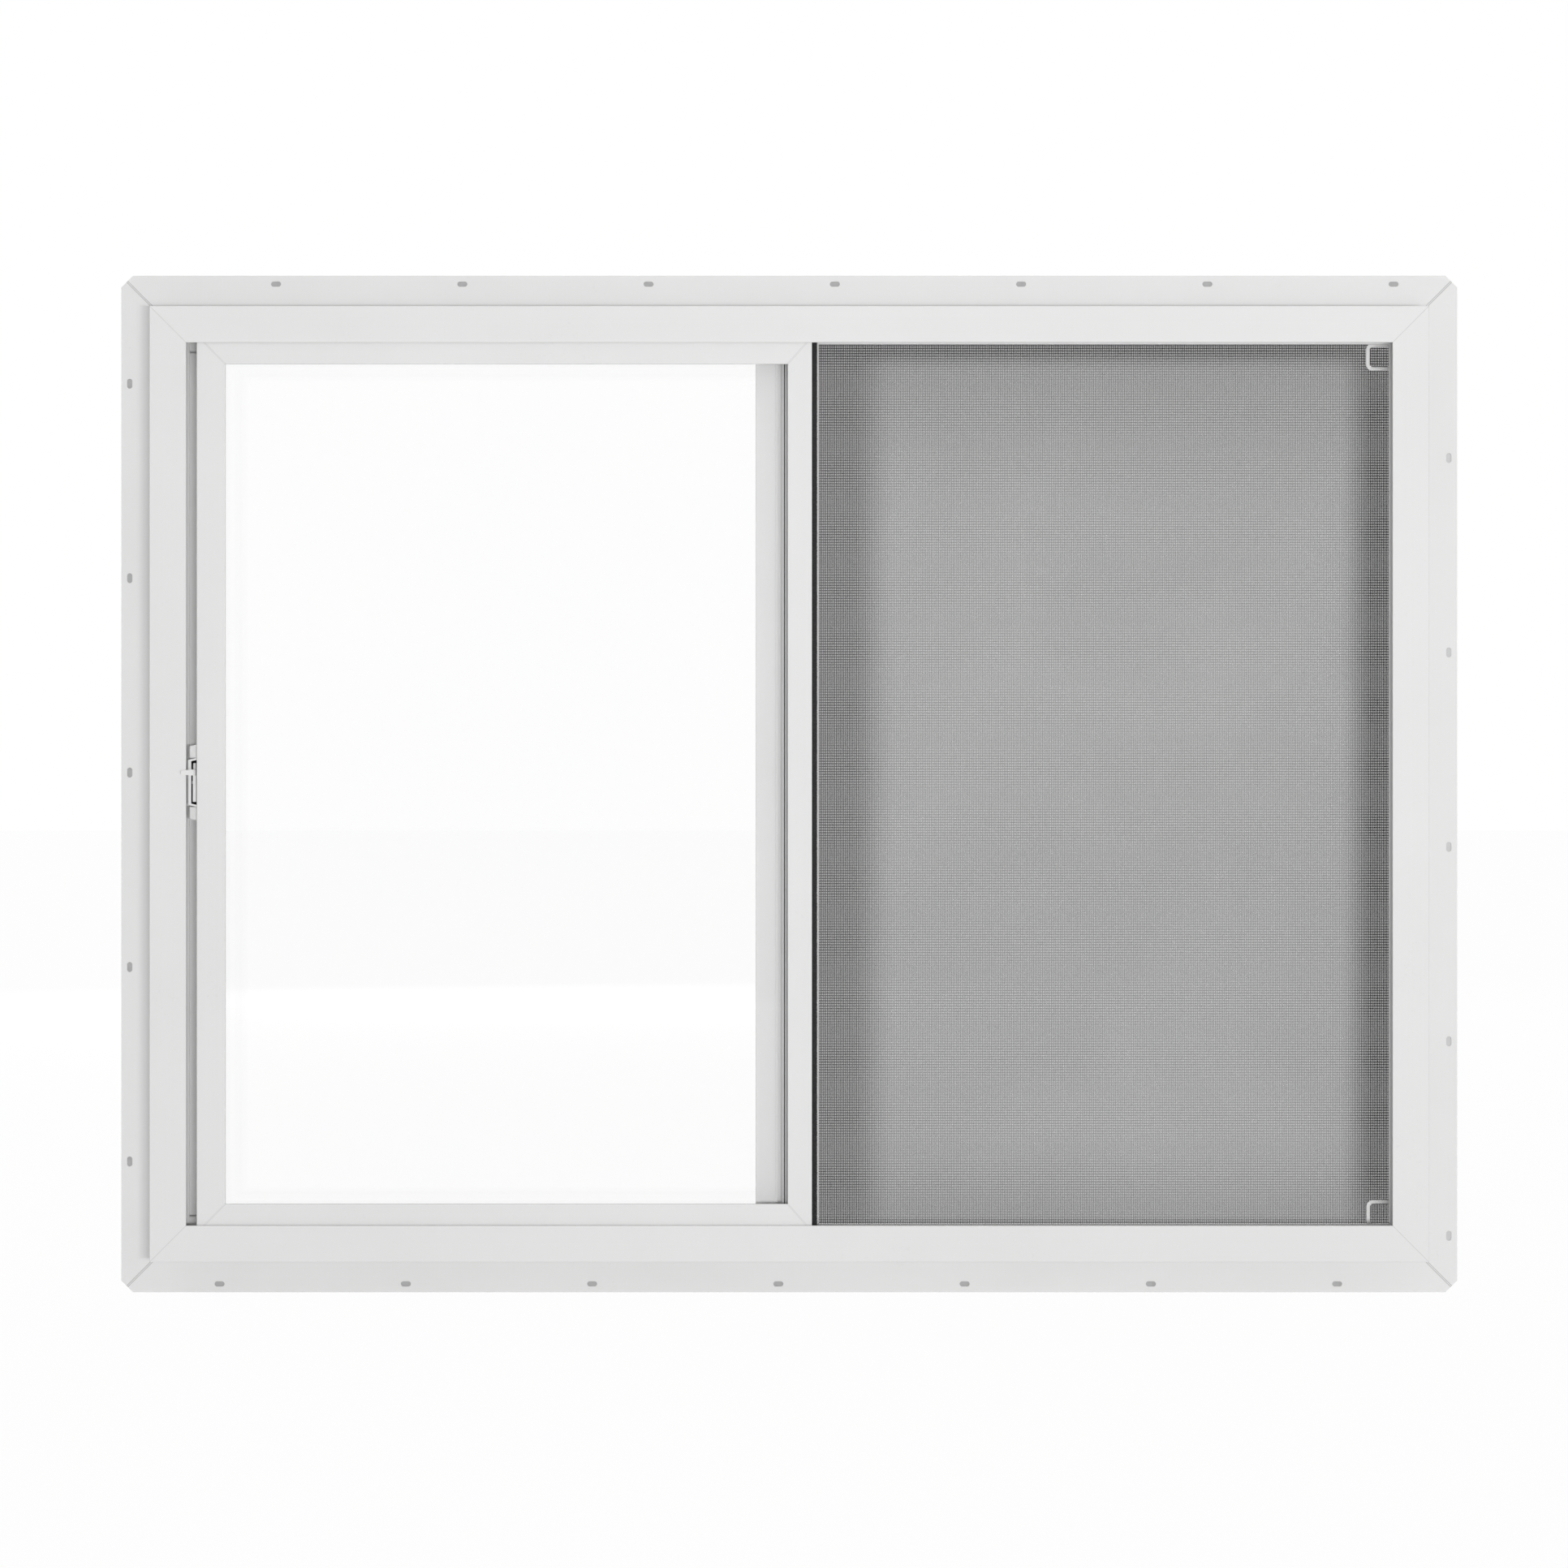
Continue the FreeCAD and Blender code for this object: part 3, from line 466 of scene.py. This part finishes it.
def box_faces(start):
    return [tuple(start + corner for corner in face) for face in BOX_FACES]


def band(first, second, count):
    # Quads between two closed outlines of count points each
    return [(first + k, first + (k + 1) % count, second + (k + 1) % count, second + k)
            for k in range(count)]


def new_piece(name, points, faces, finish, body, slot, smooth=True):
    mesh = bpy.data.meshes.new(name)
    mesh.from_pydata([tuple(p) for p in points], [], [tuple(int(i) for i in f) for f in faces])
    mesh.materials.append(finish)
    mesh.polygons.foreach_set("use_smooth", [smooth] * len(mesh.polygons))
    piece = bpy.data.objects.new(name, mesh)
    bpy.context.scene.collection.objects.link(piece)
    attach(piece, body)
    print(name, len(mesh.polygons), "faces")
    return piece


# %% Where the slots are
SLOT_RADIUS = 0.0025
SLOT_STRAIGHT = 0.0045
SLOT_STEPS = 9
LYING_PITCH, STANDING_PITCH = 0.1778, 0.1856
LINE_ASIDE, LINE_UP = 0.62955, 0.47715
# The middle slot of each row: how far to the right and how far up from the window's middle
LYING_ROWS = ((0.0435, LINE_UP), (-0.0104, -LINE_UP))
STANDING_ROWS = ((-LINE_ASIDE, 0.0109), (LINE_ASIDE, -0.06))

slots = [(x + LYING_PITCH * k, MIDDLE_Z + z, False)
         for x, z in LYING_ROWS for k in range(-3, 4)]
slots += [(x, MIDDLE_Z + z + STANDING_PITCH * k, True)
          for x, z in STANDING_ROWS for k in range(-2, 3)]
print("slots:", len(slots))


def slot_outline(x, z, upright):
    turns = np.linspace(-math.pi / 2, math.pi / 2, SLOT_STEPS)
    along = np.concatenate([np.cos(turns) * SLOT_RADIUS + SLOT_STRAIGHT / 2,
                            -np.cos(turns) * SLOT_RADIUS - SLOT_STRAIGHT / 2])
    aside = np.concatenate([np.sin(turns), -np.sin(turns)]) * SLOT_RADIUS
    if upright:
        along, aside = -aside, along
    return x + along, z + aside


# %% Close the slots with films of painted shade
FILM_FRONT, FILM_BACK = 0.0012, 0.0015
# The films' grey is painted shade, a tone lighter in the right jamb's fin
FILM_SHADE_LIGHT, FILM_SHADE_DARK = (0.44, 0.44, 0.44), (0.4, 0.4, 0.4)
FILM_SHADE_RIGHT = (0.6, 0.6, 0.6)


def slot_shade_films():
    points, faces = [], []
    for x, z, upright in slots:
        xs, zs = slot_outline(x, z, upright)
        count = len(xs)
        front = len(points)
        back = front + count
        for y in (FILM_FRONT, FILM_BACK):
            points += [(a, y, b) for a, b in zip(xs, zs)]
        faces.append(range(front, back))
        faces.append(reversed(range(back, back + count)))
        faces += band(back, front, count)
    return points, faces


def make_film_shade_finish():
    # The films in the right jamb's fin are a tone lighter: less painted shade there
    finish, tree, shader = start_finish("slot_film_painted_shade")
    point = add(tree, "SeparateXYZ", {0: own_place(tree)}).outputs
    right = calc(tree, "GREATER_THAN", point["X"], HALF_WIDTH)
    color = mixed(tree, place(tree, soft_marks, Size=160.0), FILM_SHADE_LIGHT, FILM_SHADE_DARK)
    grain = place(tree, fine_grain, Fineness=2400.0)
    give(tree, shader, {"Base Color": mixed(tree, right, color, FILM_SHADE_RIGHT),
                        "Roughness": between(tree, grain, 0.45, 0.55),
                        "Normal": bumped(tree, grain, 20 * MICRON)})
    return finish


new_piece("fin_slot_shade_films", *slot_shade_films(), make_film_shade_finish(), "window_frame", "white_vinyl", False)

# %% [markdown]
# ## Glass
# Each lite is two panes with an air space. The panes are real solids, so the light bends in and
# out of both, and a faint film of dust changes how sharp the gloss is. They bend it a little less
# than real glass does, so that they stay as clear as in the photograph. Light that only shines
# through them, on its way to a wall or a shadow, passes straight.

# %% Clear glass
PANE_INDEX = 1.3
PANE_CLEAN, PANE_DUSTY = (1.0, 1.0, 1.0), (0.998, 0.999, 0.999)
DUST_ROUGHNESS = 0.004
GLASS = ("fixed_glass_indoor", "fixed_glass_outdoor", "sash_glass_indoor", "sash_glass_outdoor")


def make_glass():
    finish, tree, shader = start_finish("clear_glass")
    film = place(tree, soft_marks, Size=3.0, Low=0.45, High=0.8)
    give(tree, shader, {"Base Color": mixed(tree, film, PANE_CLEAN, PANE_DUSTY),
                        "Roughness": calc(tree, "MULTIPLY", film, DUST_ROUGHNESS),
                        "Transmission Weight": 1.0, "IOR": PANE_INDEX})
    path = add(tree, "LightPath", {}).outputs
    passing = calc(tree, "MAXIMUM", path["Is Shadow Ray"], path["Is Diffuse Ray"])
    through = add(tree, "BsdfTransparent", {})
    either = add(tree, "MixShader", {0: passing, 1: shader.outputs[0], 2: through.outputs[0]})
    give(tree, tree.nodes["Material Output"], {"Surface": either.outputs[0]})
    return finish


dress(GLASS, make_glass())

# %% [markdown]
# ## Small parts
# The spacer between the panes is rolled aluminium, and the screen's bars are enamelled. The lock is
# moulded plastic, a touch whiter and duller than the vinyl. The ring pulls are of a softer plastic,
# made whiter still as painted light, since they sit in shade in the corners; the rollers are of a
# greyer one.

# %% Metal, enamel, plastic and rubber
ENAMEL = dict(light=(0.84, 0.84, 0.835), dark=(0.81, 0.81, 0.805), rough=(0.28, 0.38),
              line_depth=10 * MICRON, grain_depth=20 * MICRON, fineness=500.0)

spacer_metal = solid_finish(
    "spacer_metal", light=(0.62, 0.62, 0.63), dark=(0.5, 0.5, 0.51), rough=(0.3, 0.42),
    stretch=(60.0, 900.0, 60.0), line_depth=30 * MICRON, grain_depth=10 * MICRON, metallic=1.0)
enamel_lying = solid_finish("white_enamel_lying", stretch=ALONG_X, **ENAMEL)
enamel_standing = solid_finish("white_enamel_standing", stretch=ALONG_Z, **ENAMEL)
moulded = solid_finish(
    "white_moulded_plastic", light=(0.82, 0.82, 0.815), dark=(0.79, 0.79, 0.785),
    rough=(0.42, 0.52), stretch=(40.0, 40.0, 40.0), line_depth=10 * MICRON,
    grain_depth=30 * MICRON, fineness=1400.0, marks=60.0)
# The ring pulls' extra white is painted light: they sit in shade in the corners
soft_plastic_and_painted_light = solid_finish(
    "white_soft_plastic_painted_light", light=(0.9, 0.9, 0.895), dark=(0.87, 0.87, 0.865), rough=(0.38, 0.5),
    stretch=(60.0, 60.0, 60.0), line_depth=10 * MICRON, grain_depth=20 * MICRON,
    fineness=1800.0, marks=90.0)
roller_plastic = solid_finish(
    "roller_plastic", light=(0.62, 0.61, 0.6), dark=(0.55, 0.54, 0.53), rough=(0.45, 0.6),
    stretch=(300.0, 300.0, 300.0), line_depth=20 * MICRON, grain_depth=30 * MICRON)
rubber = solid_finish(
    "spline_rubber", light=(0.03, 0.03, 0.03), dark=(0.05, 0.05, 0.05), rough=(0.6, 0.8),
    stretch=(200.0, 200.0, 200.0), line_depth=50 * MICRON, grain_depth=30 * MICRON)

dress(("fixed_spacer", "sash_spacer"), spacer_metal)
dress(("screen_bar_top", "screen_bar_bottom"), enamel_lying)
dress(("screen_bar_left", "screen_bar_right"), enamel_standing)
dress(("lock_plate", "lock_bezel", "lock_lever"), moulded)
dress(("sash_rollers", "sash_roller_housings"), roller_plastic)
dress(("screen_spline",), rubber)

# %% [markdown]
# ## Ring pulls
# Two plastic rings at the corners let a hand lift the screen out. The real ones are moulded: a
# square ring with round corners and soft edges, and a flat tab that goes behind the frame's rib.
# The solid has sharp edges, which catch no light. So a profile with round corners is carried
# along the ring's middle line, and the outline of both is the same rounded rectangle.

# %% Carry a rounded profile round a square
PULL_SIZE, PULL_BAND, PULL_DEPTH, PULL_CORNER = 0.0265, 0.0038, 0.003, 0.0066
SOFT_EDGE = 0.0011
CORNER_STEPS, EDGE_STEPS = 10, 4
TAB_DEPTH, TAB_HALF = 0.0012, 0.006


def rounded_rectangle(half_a, half_b, radius, steps):
    # Points round the outline and the outward direction at each
    turns = np.concatenate([np.linspace(q, q + 1, steps + 1) for q in range(4)]) * math.pi / 2
    outward = np.stack([np.cos(turns), np.sin(turns)], 1)
    signs = np.repeat([(1, 1), (-1, 1), (-1, -1), (1, -1)], steps + 1, axis=0)
    return signs * (half_a - radius, half_b - radius) + outward * radius, outward


def ring(middle, half):
    path, outward = rounded_rectangle(half, half, PULL_CORNER - PULL_BAND / 2, CORNER_STEPS)
    profile, _ = rounded_rectangle(PULL_BAND / 2, PULL_DEPTH / 2, SOFT_EDGE, EDGE_STEPS)
    n, m = len(path), len(profile)
    points = np.zeros((n, m, 3))
    points[..., 0] = middle[0] + path[:, None, 0] + outward[:, None, 0] * profile[None, :, 0]
    points[..., 1] = middle[1] + profile[None, :, 1]
    points[..., 2] = middle[2] + path[:, None, 1] + outward[:, None, 1] * profile[None, :, 0]
    faces = []
    for i in range(n):
        here, after = i * m, (i + 1) % n * m
        faces += [(here + j, here + (j + 1) % m, after + (j + 1) % m, after + j) for j in range(m)]
    return points.reshape(-1, 3), faces


def ring_pull(name, node, shift_x, shift_z):
    low, high = (np.array(v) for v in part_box(node))
    middle = np.array([low[0] + PULL_SIZE / 2 + shift_x, high[1] - PULL_DEPTH / 2,
                       (low[2] + high[2]) / 2 + shift_z])
    half = (PULL_SIZE - PULL_BAND) / 2
    points, faces = ring(middle, half)
    tab = box_points((middle[0] + half, high[1] - TAB_DEPTH, middle[2] - TAB_HALF),
                     (high[0], high[1], middle[2] + TAB_HALF))
    faces += box_faces(len(points))
    pull = new_piece(name, np.concatenate([points, tab]), faces, soft_plastic_and_painted_light, "window_frame",
                     "white_plastic")
    for face in list(pull.data.polygons)[-len(BOX_FACES):]:
        face.use_smooth = False
    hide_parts(node)


# The photograph has each ring a little to the right of its solid, and the bottom one lower
ring_pull("ring_pull_top", "screen_pull_top", 0.0014, 0.0004)
ring_pull("ring_pull_bottom", "screen_pull_bottom", 0.0018, -0.003)

# %% [markdown]
# ## Painted shade inside the lock
# The lever swings in a slot, and the photograph shows a black line all round it. A thin black lining
# stands along the walls and the back of the slot and leaves the front open, and its black is painted
# shade of the slot's deep inside. Its outline is the slot's own, whose ends rise toward the stile.
# The inner outline is the same one, drawn in by the lining's thickness.

# %% Line the lock's slot with painted shade
LINING = 0.00025
LOCK_MIDDLE = MIDDLE_Z + 0.0015
SLOT_LEFT, SLOT_RIGHT = -0.56477, -0.55993
SLOT_HALF_LEFT, SLOT_HALF_RIGHT = 0.02005, 0.02115
LINING_FRONT, LINING_BACK = -0.0322, -0.016

outer = [(SLOT_LEFT, -SLOT_HALF_LEFT), (SLOT_RIGHT, -SLOT_HALF_RIGHT),
         (SLOT_RIGHT, SLOT_HALF_RIGHT), (SLOT_LEFT, SLOT_HALF_LEFT)]
inner = [(x + (LINING if x == SLOT_LEFT else -LINING), z - math.copysign(LINING, z))
         for x, z in outer]
points = []
for outline, y in ((outer, LINING_FRONT), (inner, LINING_FRONT), (inner, LINING_BACK - LINING),
                   (outer, LINING_BACK)):
    points += [(x, y, LOCK_MIDDLE + z) for x, z in outline]
faces = band(0, 4, 4) + band(4, 8, 4) + [(8, 9, 10, 11), (15, 14, 13, 12)] + band(12, 0, 4)
# The lining's black is painted shade of the slot's deep inside
lining_shade_finish = solid_finish(
    "lock_lining_painted_shade", light=(0.012, 0.012, 0.012), dark=(0.022, 0.022, 0.022),
    rough=(0.5, 0.65), stretch=(200.0, 200.0, 200.0), line_depth=20 * MICRON,
    grain_depth=20 * MICRON)
new_piece("lock_shade_lining", points, faces, lining_shade_finish, "sliding_sash", "black_spline", False)

# %% [markdown]
# ## The insect screen
# The screen is coated yarn, woven with about eighteen openings to the inch across and sixteen
# up. A picture of a weave on a flat sheet would lose its holes from close by, so each yarn is a
# slim flat bar of its own, six sides round. The upright yarns lie a little nearer the room. All
# are drawn wider than real yarn, or the screen would be lighter than in the photograph.

# %% Build a set of yarns
YARN_WIDTH = 0.00086
YARN_DEPTH = 0.00022
YARN_SIDES = 6
YARN_ASIDE = 0.00009
INCH = 0.0254
PITCH_X = INCH / 18
PITCH_Z = INCH / 16


def yarn_set(centres, low, high, depth, upright):
    angles = np.arange(YARN_SIDES) * 2 * math.pi / YARN_SIDES
    round_yarn = np.stack([np.cos(angles) * YARN_WIDTH / 2, np.sin(angles) * YARN_DEPTH / 2], 1)
    count = len(centres)
    points = np.zeros((count, 2, YARN_SIDES, 3))
    side, along = (0, 2) if upright else (2, 0)
    points[..., side] = centres[:, None, None] + round_yarn[:, 0]
    points[..., 1] = depth + round_yarn[:, 1]
    points[:, 0, :, along] = low
    points[:, 1, :, along] = high
    quads = band(0, YARN_SIDES, YARN_SIDES)
    if not upright:
        quads = [quad[::-1] for quad in quads]
    quads = np.array(quads)[None] + np.arange(count)[:, None, None] * 2 * YARN_SIDES
    return points.reshape(-1, 3), quads.reshape(-1, 4)


# %% Tone of the yarn, with painted shade toward the bars
# In the photograph the weave is lightest in its middle. Toward the bars the yarn is painted darker,
# as painted shade of the frame: near the head and the right jamb in a narrow band, on the left in a
# wider one, and slightly up and down. Each fade is the axis, where it starts, where it ends and how
# much of the tone its start keeps.
SHADE_FADES = (("X", 0.058, 0.104, 0.28), ("X", 0.565, 0.529, 0.0), ("Z", 0.888, 0.866, 0.1),
         ("Z", 0.875, 0.7, 0.75), ("Z", 0.03, 0.14, 0.78))
YARN_TONE, YARN_DUSTY = (0.288, 0.288, 0.29), (0.376, 0.376, 0.378)
YARN_PAINTED_SHADE = (0.006, 0.006, 0.006)


def make_yarn_and_shade_finish():
    finish, tree, shader = start_finish("charcoal_yarn_painted_shade")
    twist = place(tree, fine_grain, Fineness=1600.0)
    dust = place(tree, soft_marks, Size=5.0, Low=0.35, High=0.75)
    color = mixed(tree, mean(tree, twist, dust), YARN_TONE, YARN_DUSTY)
    point = add(tree, "SeparateXYZ", {0: own_place(tree)}).outputs
    # kept is the share of the yarn's tone that the painted shade leaves
    kept = 1.0
    for axis, start, end, least in SHADE_FADES:
        shade_fade = span(tree, point[axis], start, end, least, interpolation_type="SMOOTHSTEP")
        kept = calc(tree, "MULTIPLY", shade_fade, kept)
    # Painted shade: the yarn goes toward near-black where the fades toward the bars fall
    color = mixed(tree, calc(tree, "SUBTRACT", 1.0, kept), color, YARN_PAINTED_SHADE)
    give(tree, shader, {"Base Color": color, "Roughness": between(tree, dust, 0.55, 0.75),
                        "Normal": bumped(tree, twist, 40 * MICRON),
                        "Specular IOR Level": 0.15})
    return finish


# %% Weave the screen
low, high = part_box("screen_mesh")
middle = (low[1] + high[1]) / 2
uprights = np.arange(low[0] + PITCH_X / 2, high[0] - PITCH_X / 4, PITCH_X)
crosses = np.arange(low[2] + PITCH_Z / 2, high[2] - PITCH_Z / 4, PITCH_Z)
up_points, up_quads = yarn_set(uprights, low[2], high[2], middle - YARN_ASIDE, True)
cross_points, cross_quads = yarn_set(crosses, low[0], high[0], middle + YARN_ASIDE, False)
screen = new_piece("screen_weave", np.concatenate([up_points, cross_points]),
                   np.concatenate([up_quads, cross_quads + len(up_points)]),
                   make_yarn_and_shade_finish(), "window_frame", "charcoal_mesh")
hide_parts("screen_mesh")
print("yarns:", len(uprights), "up,", len(crosses), "across")

# %% [markdown]
# ## Weather piles
# A weather pile is a strip of stiff black fibres on a woven backing, held in a slot. Its edge
# looks soft because the fibres differ in length. Each fibre here is a slim three-sided spike
# from the backing, with its own lean and length, and all of them make one mesh. A thin core
# inside the brush keeps light from passing where the real brush is packed too tightly for it.

# %% Plant the fibres
X, Y, Z = 0, 1, 2
BACKING = 0.25
FEET_IN_BACKING = 0.9
FEET_SPREAD = 0.72
UNEVEN = 0.1
LEAN_ALONG, LEAN_ASIDE = 0.0016, 0.0006
FIBRE_HALF = 0.00021


def plant(low, high, out_axis, out_sign, along_axis, per_mm, past, chance):
    # The root is the side of the strip that the fibres grow from
    spread_axis = 3 - out_axis - along_axis
    size = high - low
    count = int(size[along_axis] * 1000 * per_mm)
    root = low[out_axis] if out_sign > 0 else high[out_axis]
    reach = out_sign * size[out_axis]
    middle = (low[spread_axis] + high[spread_axis]) / 2
    feet = np.zeros((count, 3))
    feet[:, along_axis] = low[along_axis] + chance.random(count) * size[along_axis]
    aside = (chance.random(count) - 0.5) * size[spread_axis] * FEET_SPREAD
    feet[:, spread_axis] = middle + aside
    feet[:, out_axis] = root + reach * BACKING * FEET_IN_BACKING
    tips = feet.copy()
    tips[:, out_axis] = root + reach * (1.0 + past - UNEVEN * chance.random(count) ** 2)
    tips[:, along_axis] += (chance.random(count) - 0.5) * LEAN_ALONG
    tips[:, spread_axis] += (chance.random(count) - 0.5) * LEAN_ASIDE
    for axis in (along_axis, spread_axis):
        tips[:, axis] = np.clip(tips[:, axis], low[axis], high[axis])
    corners = []
    for k in range(3):
        turn = chance.random() + k * 2 * math.pi / 3
        corner = feet.copy()
        corner[:, along_axis] += FIBRE_HALF * math.cos(turn)
        corner[:, spread_axis] += FIBRE_HALF * math.sin(turn)
        corners.append(corner)
    points = np.stack([*corners, tips], 1).reshape(-1, 3)
    base = np.arange(count)[:, None] * 4
    return points, np.concatenate([base + (0, 1, 3), base + (1, 2, 3), base + (2, 0, 3)])


# %% The backing under the fibres, and the core between them
CORE_REACH = 0.84
CORE_SLIM = 0.5


def backing_and_core(low, high, out_axis, out_sign, along_axis, past):
    spread_axis = 3 - out_axis - along_axis
    reach = high[out_axis] - low[out_axis]
    points = []
    for share, slim in ((BACKING, 1.0), (CORE_REACH + past, CORE_SLIM)):
        ends = np.array([low, high])
        if out_sign > 0:
            ends[1, out_axis] = low[out_axis] + reach * share
        else:
            ends[0, out_axis] = high[out_axis] - reach * share
        middle = ends[:, spread_axis].mean()
        ends[:, spread_axis] = middle + (ends[:, spread_axis] - middle) * slim
        points += box_points(*ends)
    return points


# %% Make each pile
FIBRE_DARK, FIBRE_LIGHT = (0.008, 0.008, 0.009), (0.05, 0.05, 0.052)


def make_pile_finish():
    finish, tree, shader = start_finish("black_pile_fibre")
    speck = place(tree, fine_grain, Fineness=1100.0)
    give(tree, shader, {"Base Color": mixed(tree, speck, FIBRE_DARK, FIBRE_LIGHT),
                        "Roughness": between(tree, speck, 0.7, 0.9),
                        "Normal": bumped(tree, speck, 50 * MICRON), "Sheen Weight": 0.15})
    return finish


def pile_strip(name, node, out_axis, out_sign, along_axis, per_mm, body, past=0.0):
    # past is how far the fibres reach beyond their solid, as a share of its reach
    low, high = (np.array(v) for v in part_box(node))
    chance = np.random.default_rng(len(name))
    fibres, faces = plant(low, high, out_axis, out_sign, along_axis, per_mm, past, chance)
    blocks = backing_and_core(low, high, out_axis, out_sign, along_axis, past)
    faces = faces.tolist() + box_faces(len(fibres)) + box_faces(len(fibres) + 8)
    piece = new_piece(name, np.concatenate([fibres, blocks]), faces, pile_finish, body,
                      "black_pile", False)
    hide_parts(node)


pile_finish = make_pile_finish()
pile_strip("sash_pile_fibres_right", "sash_pile_right", X, 1, Z, 34, "sliding_sash", 0.1)
pile_strip("mullion_pile_fibres", "mullion_pile", Y, -1, Z, 20, "window_frame")
pile_strip("sash_pile_fibres_top", "sash_pile_top", Z, 1, X, 6, "sliding_sash")
pile_strip("sash_pile_fibres_bottom", "sash_pile_bottom", Z, -1, X, 6, "sliding_sash")

# %% [markdown]
# ## Sizes
# The dressed window has to fill the same box as the solids. The last line prints the dressed window's
# box.

# %% Print the dressed window's box
low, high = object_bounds()
print("visual box:", [round(v, 4) for v in (*low, *high)])
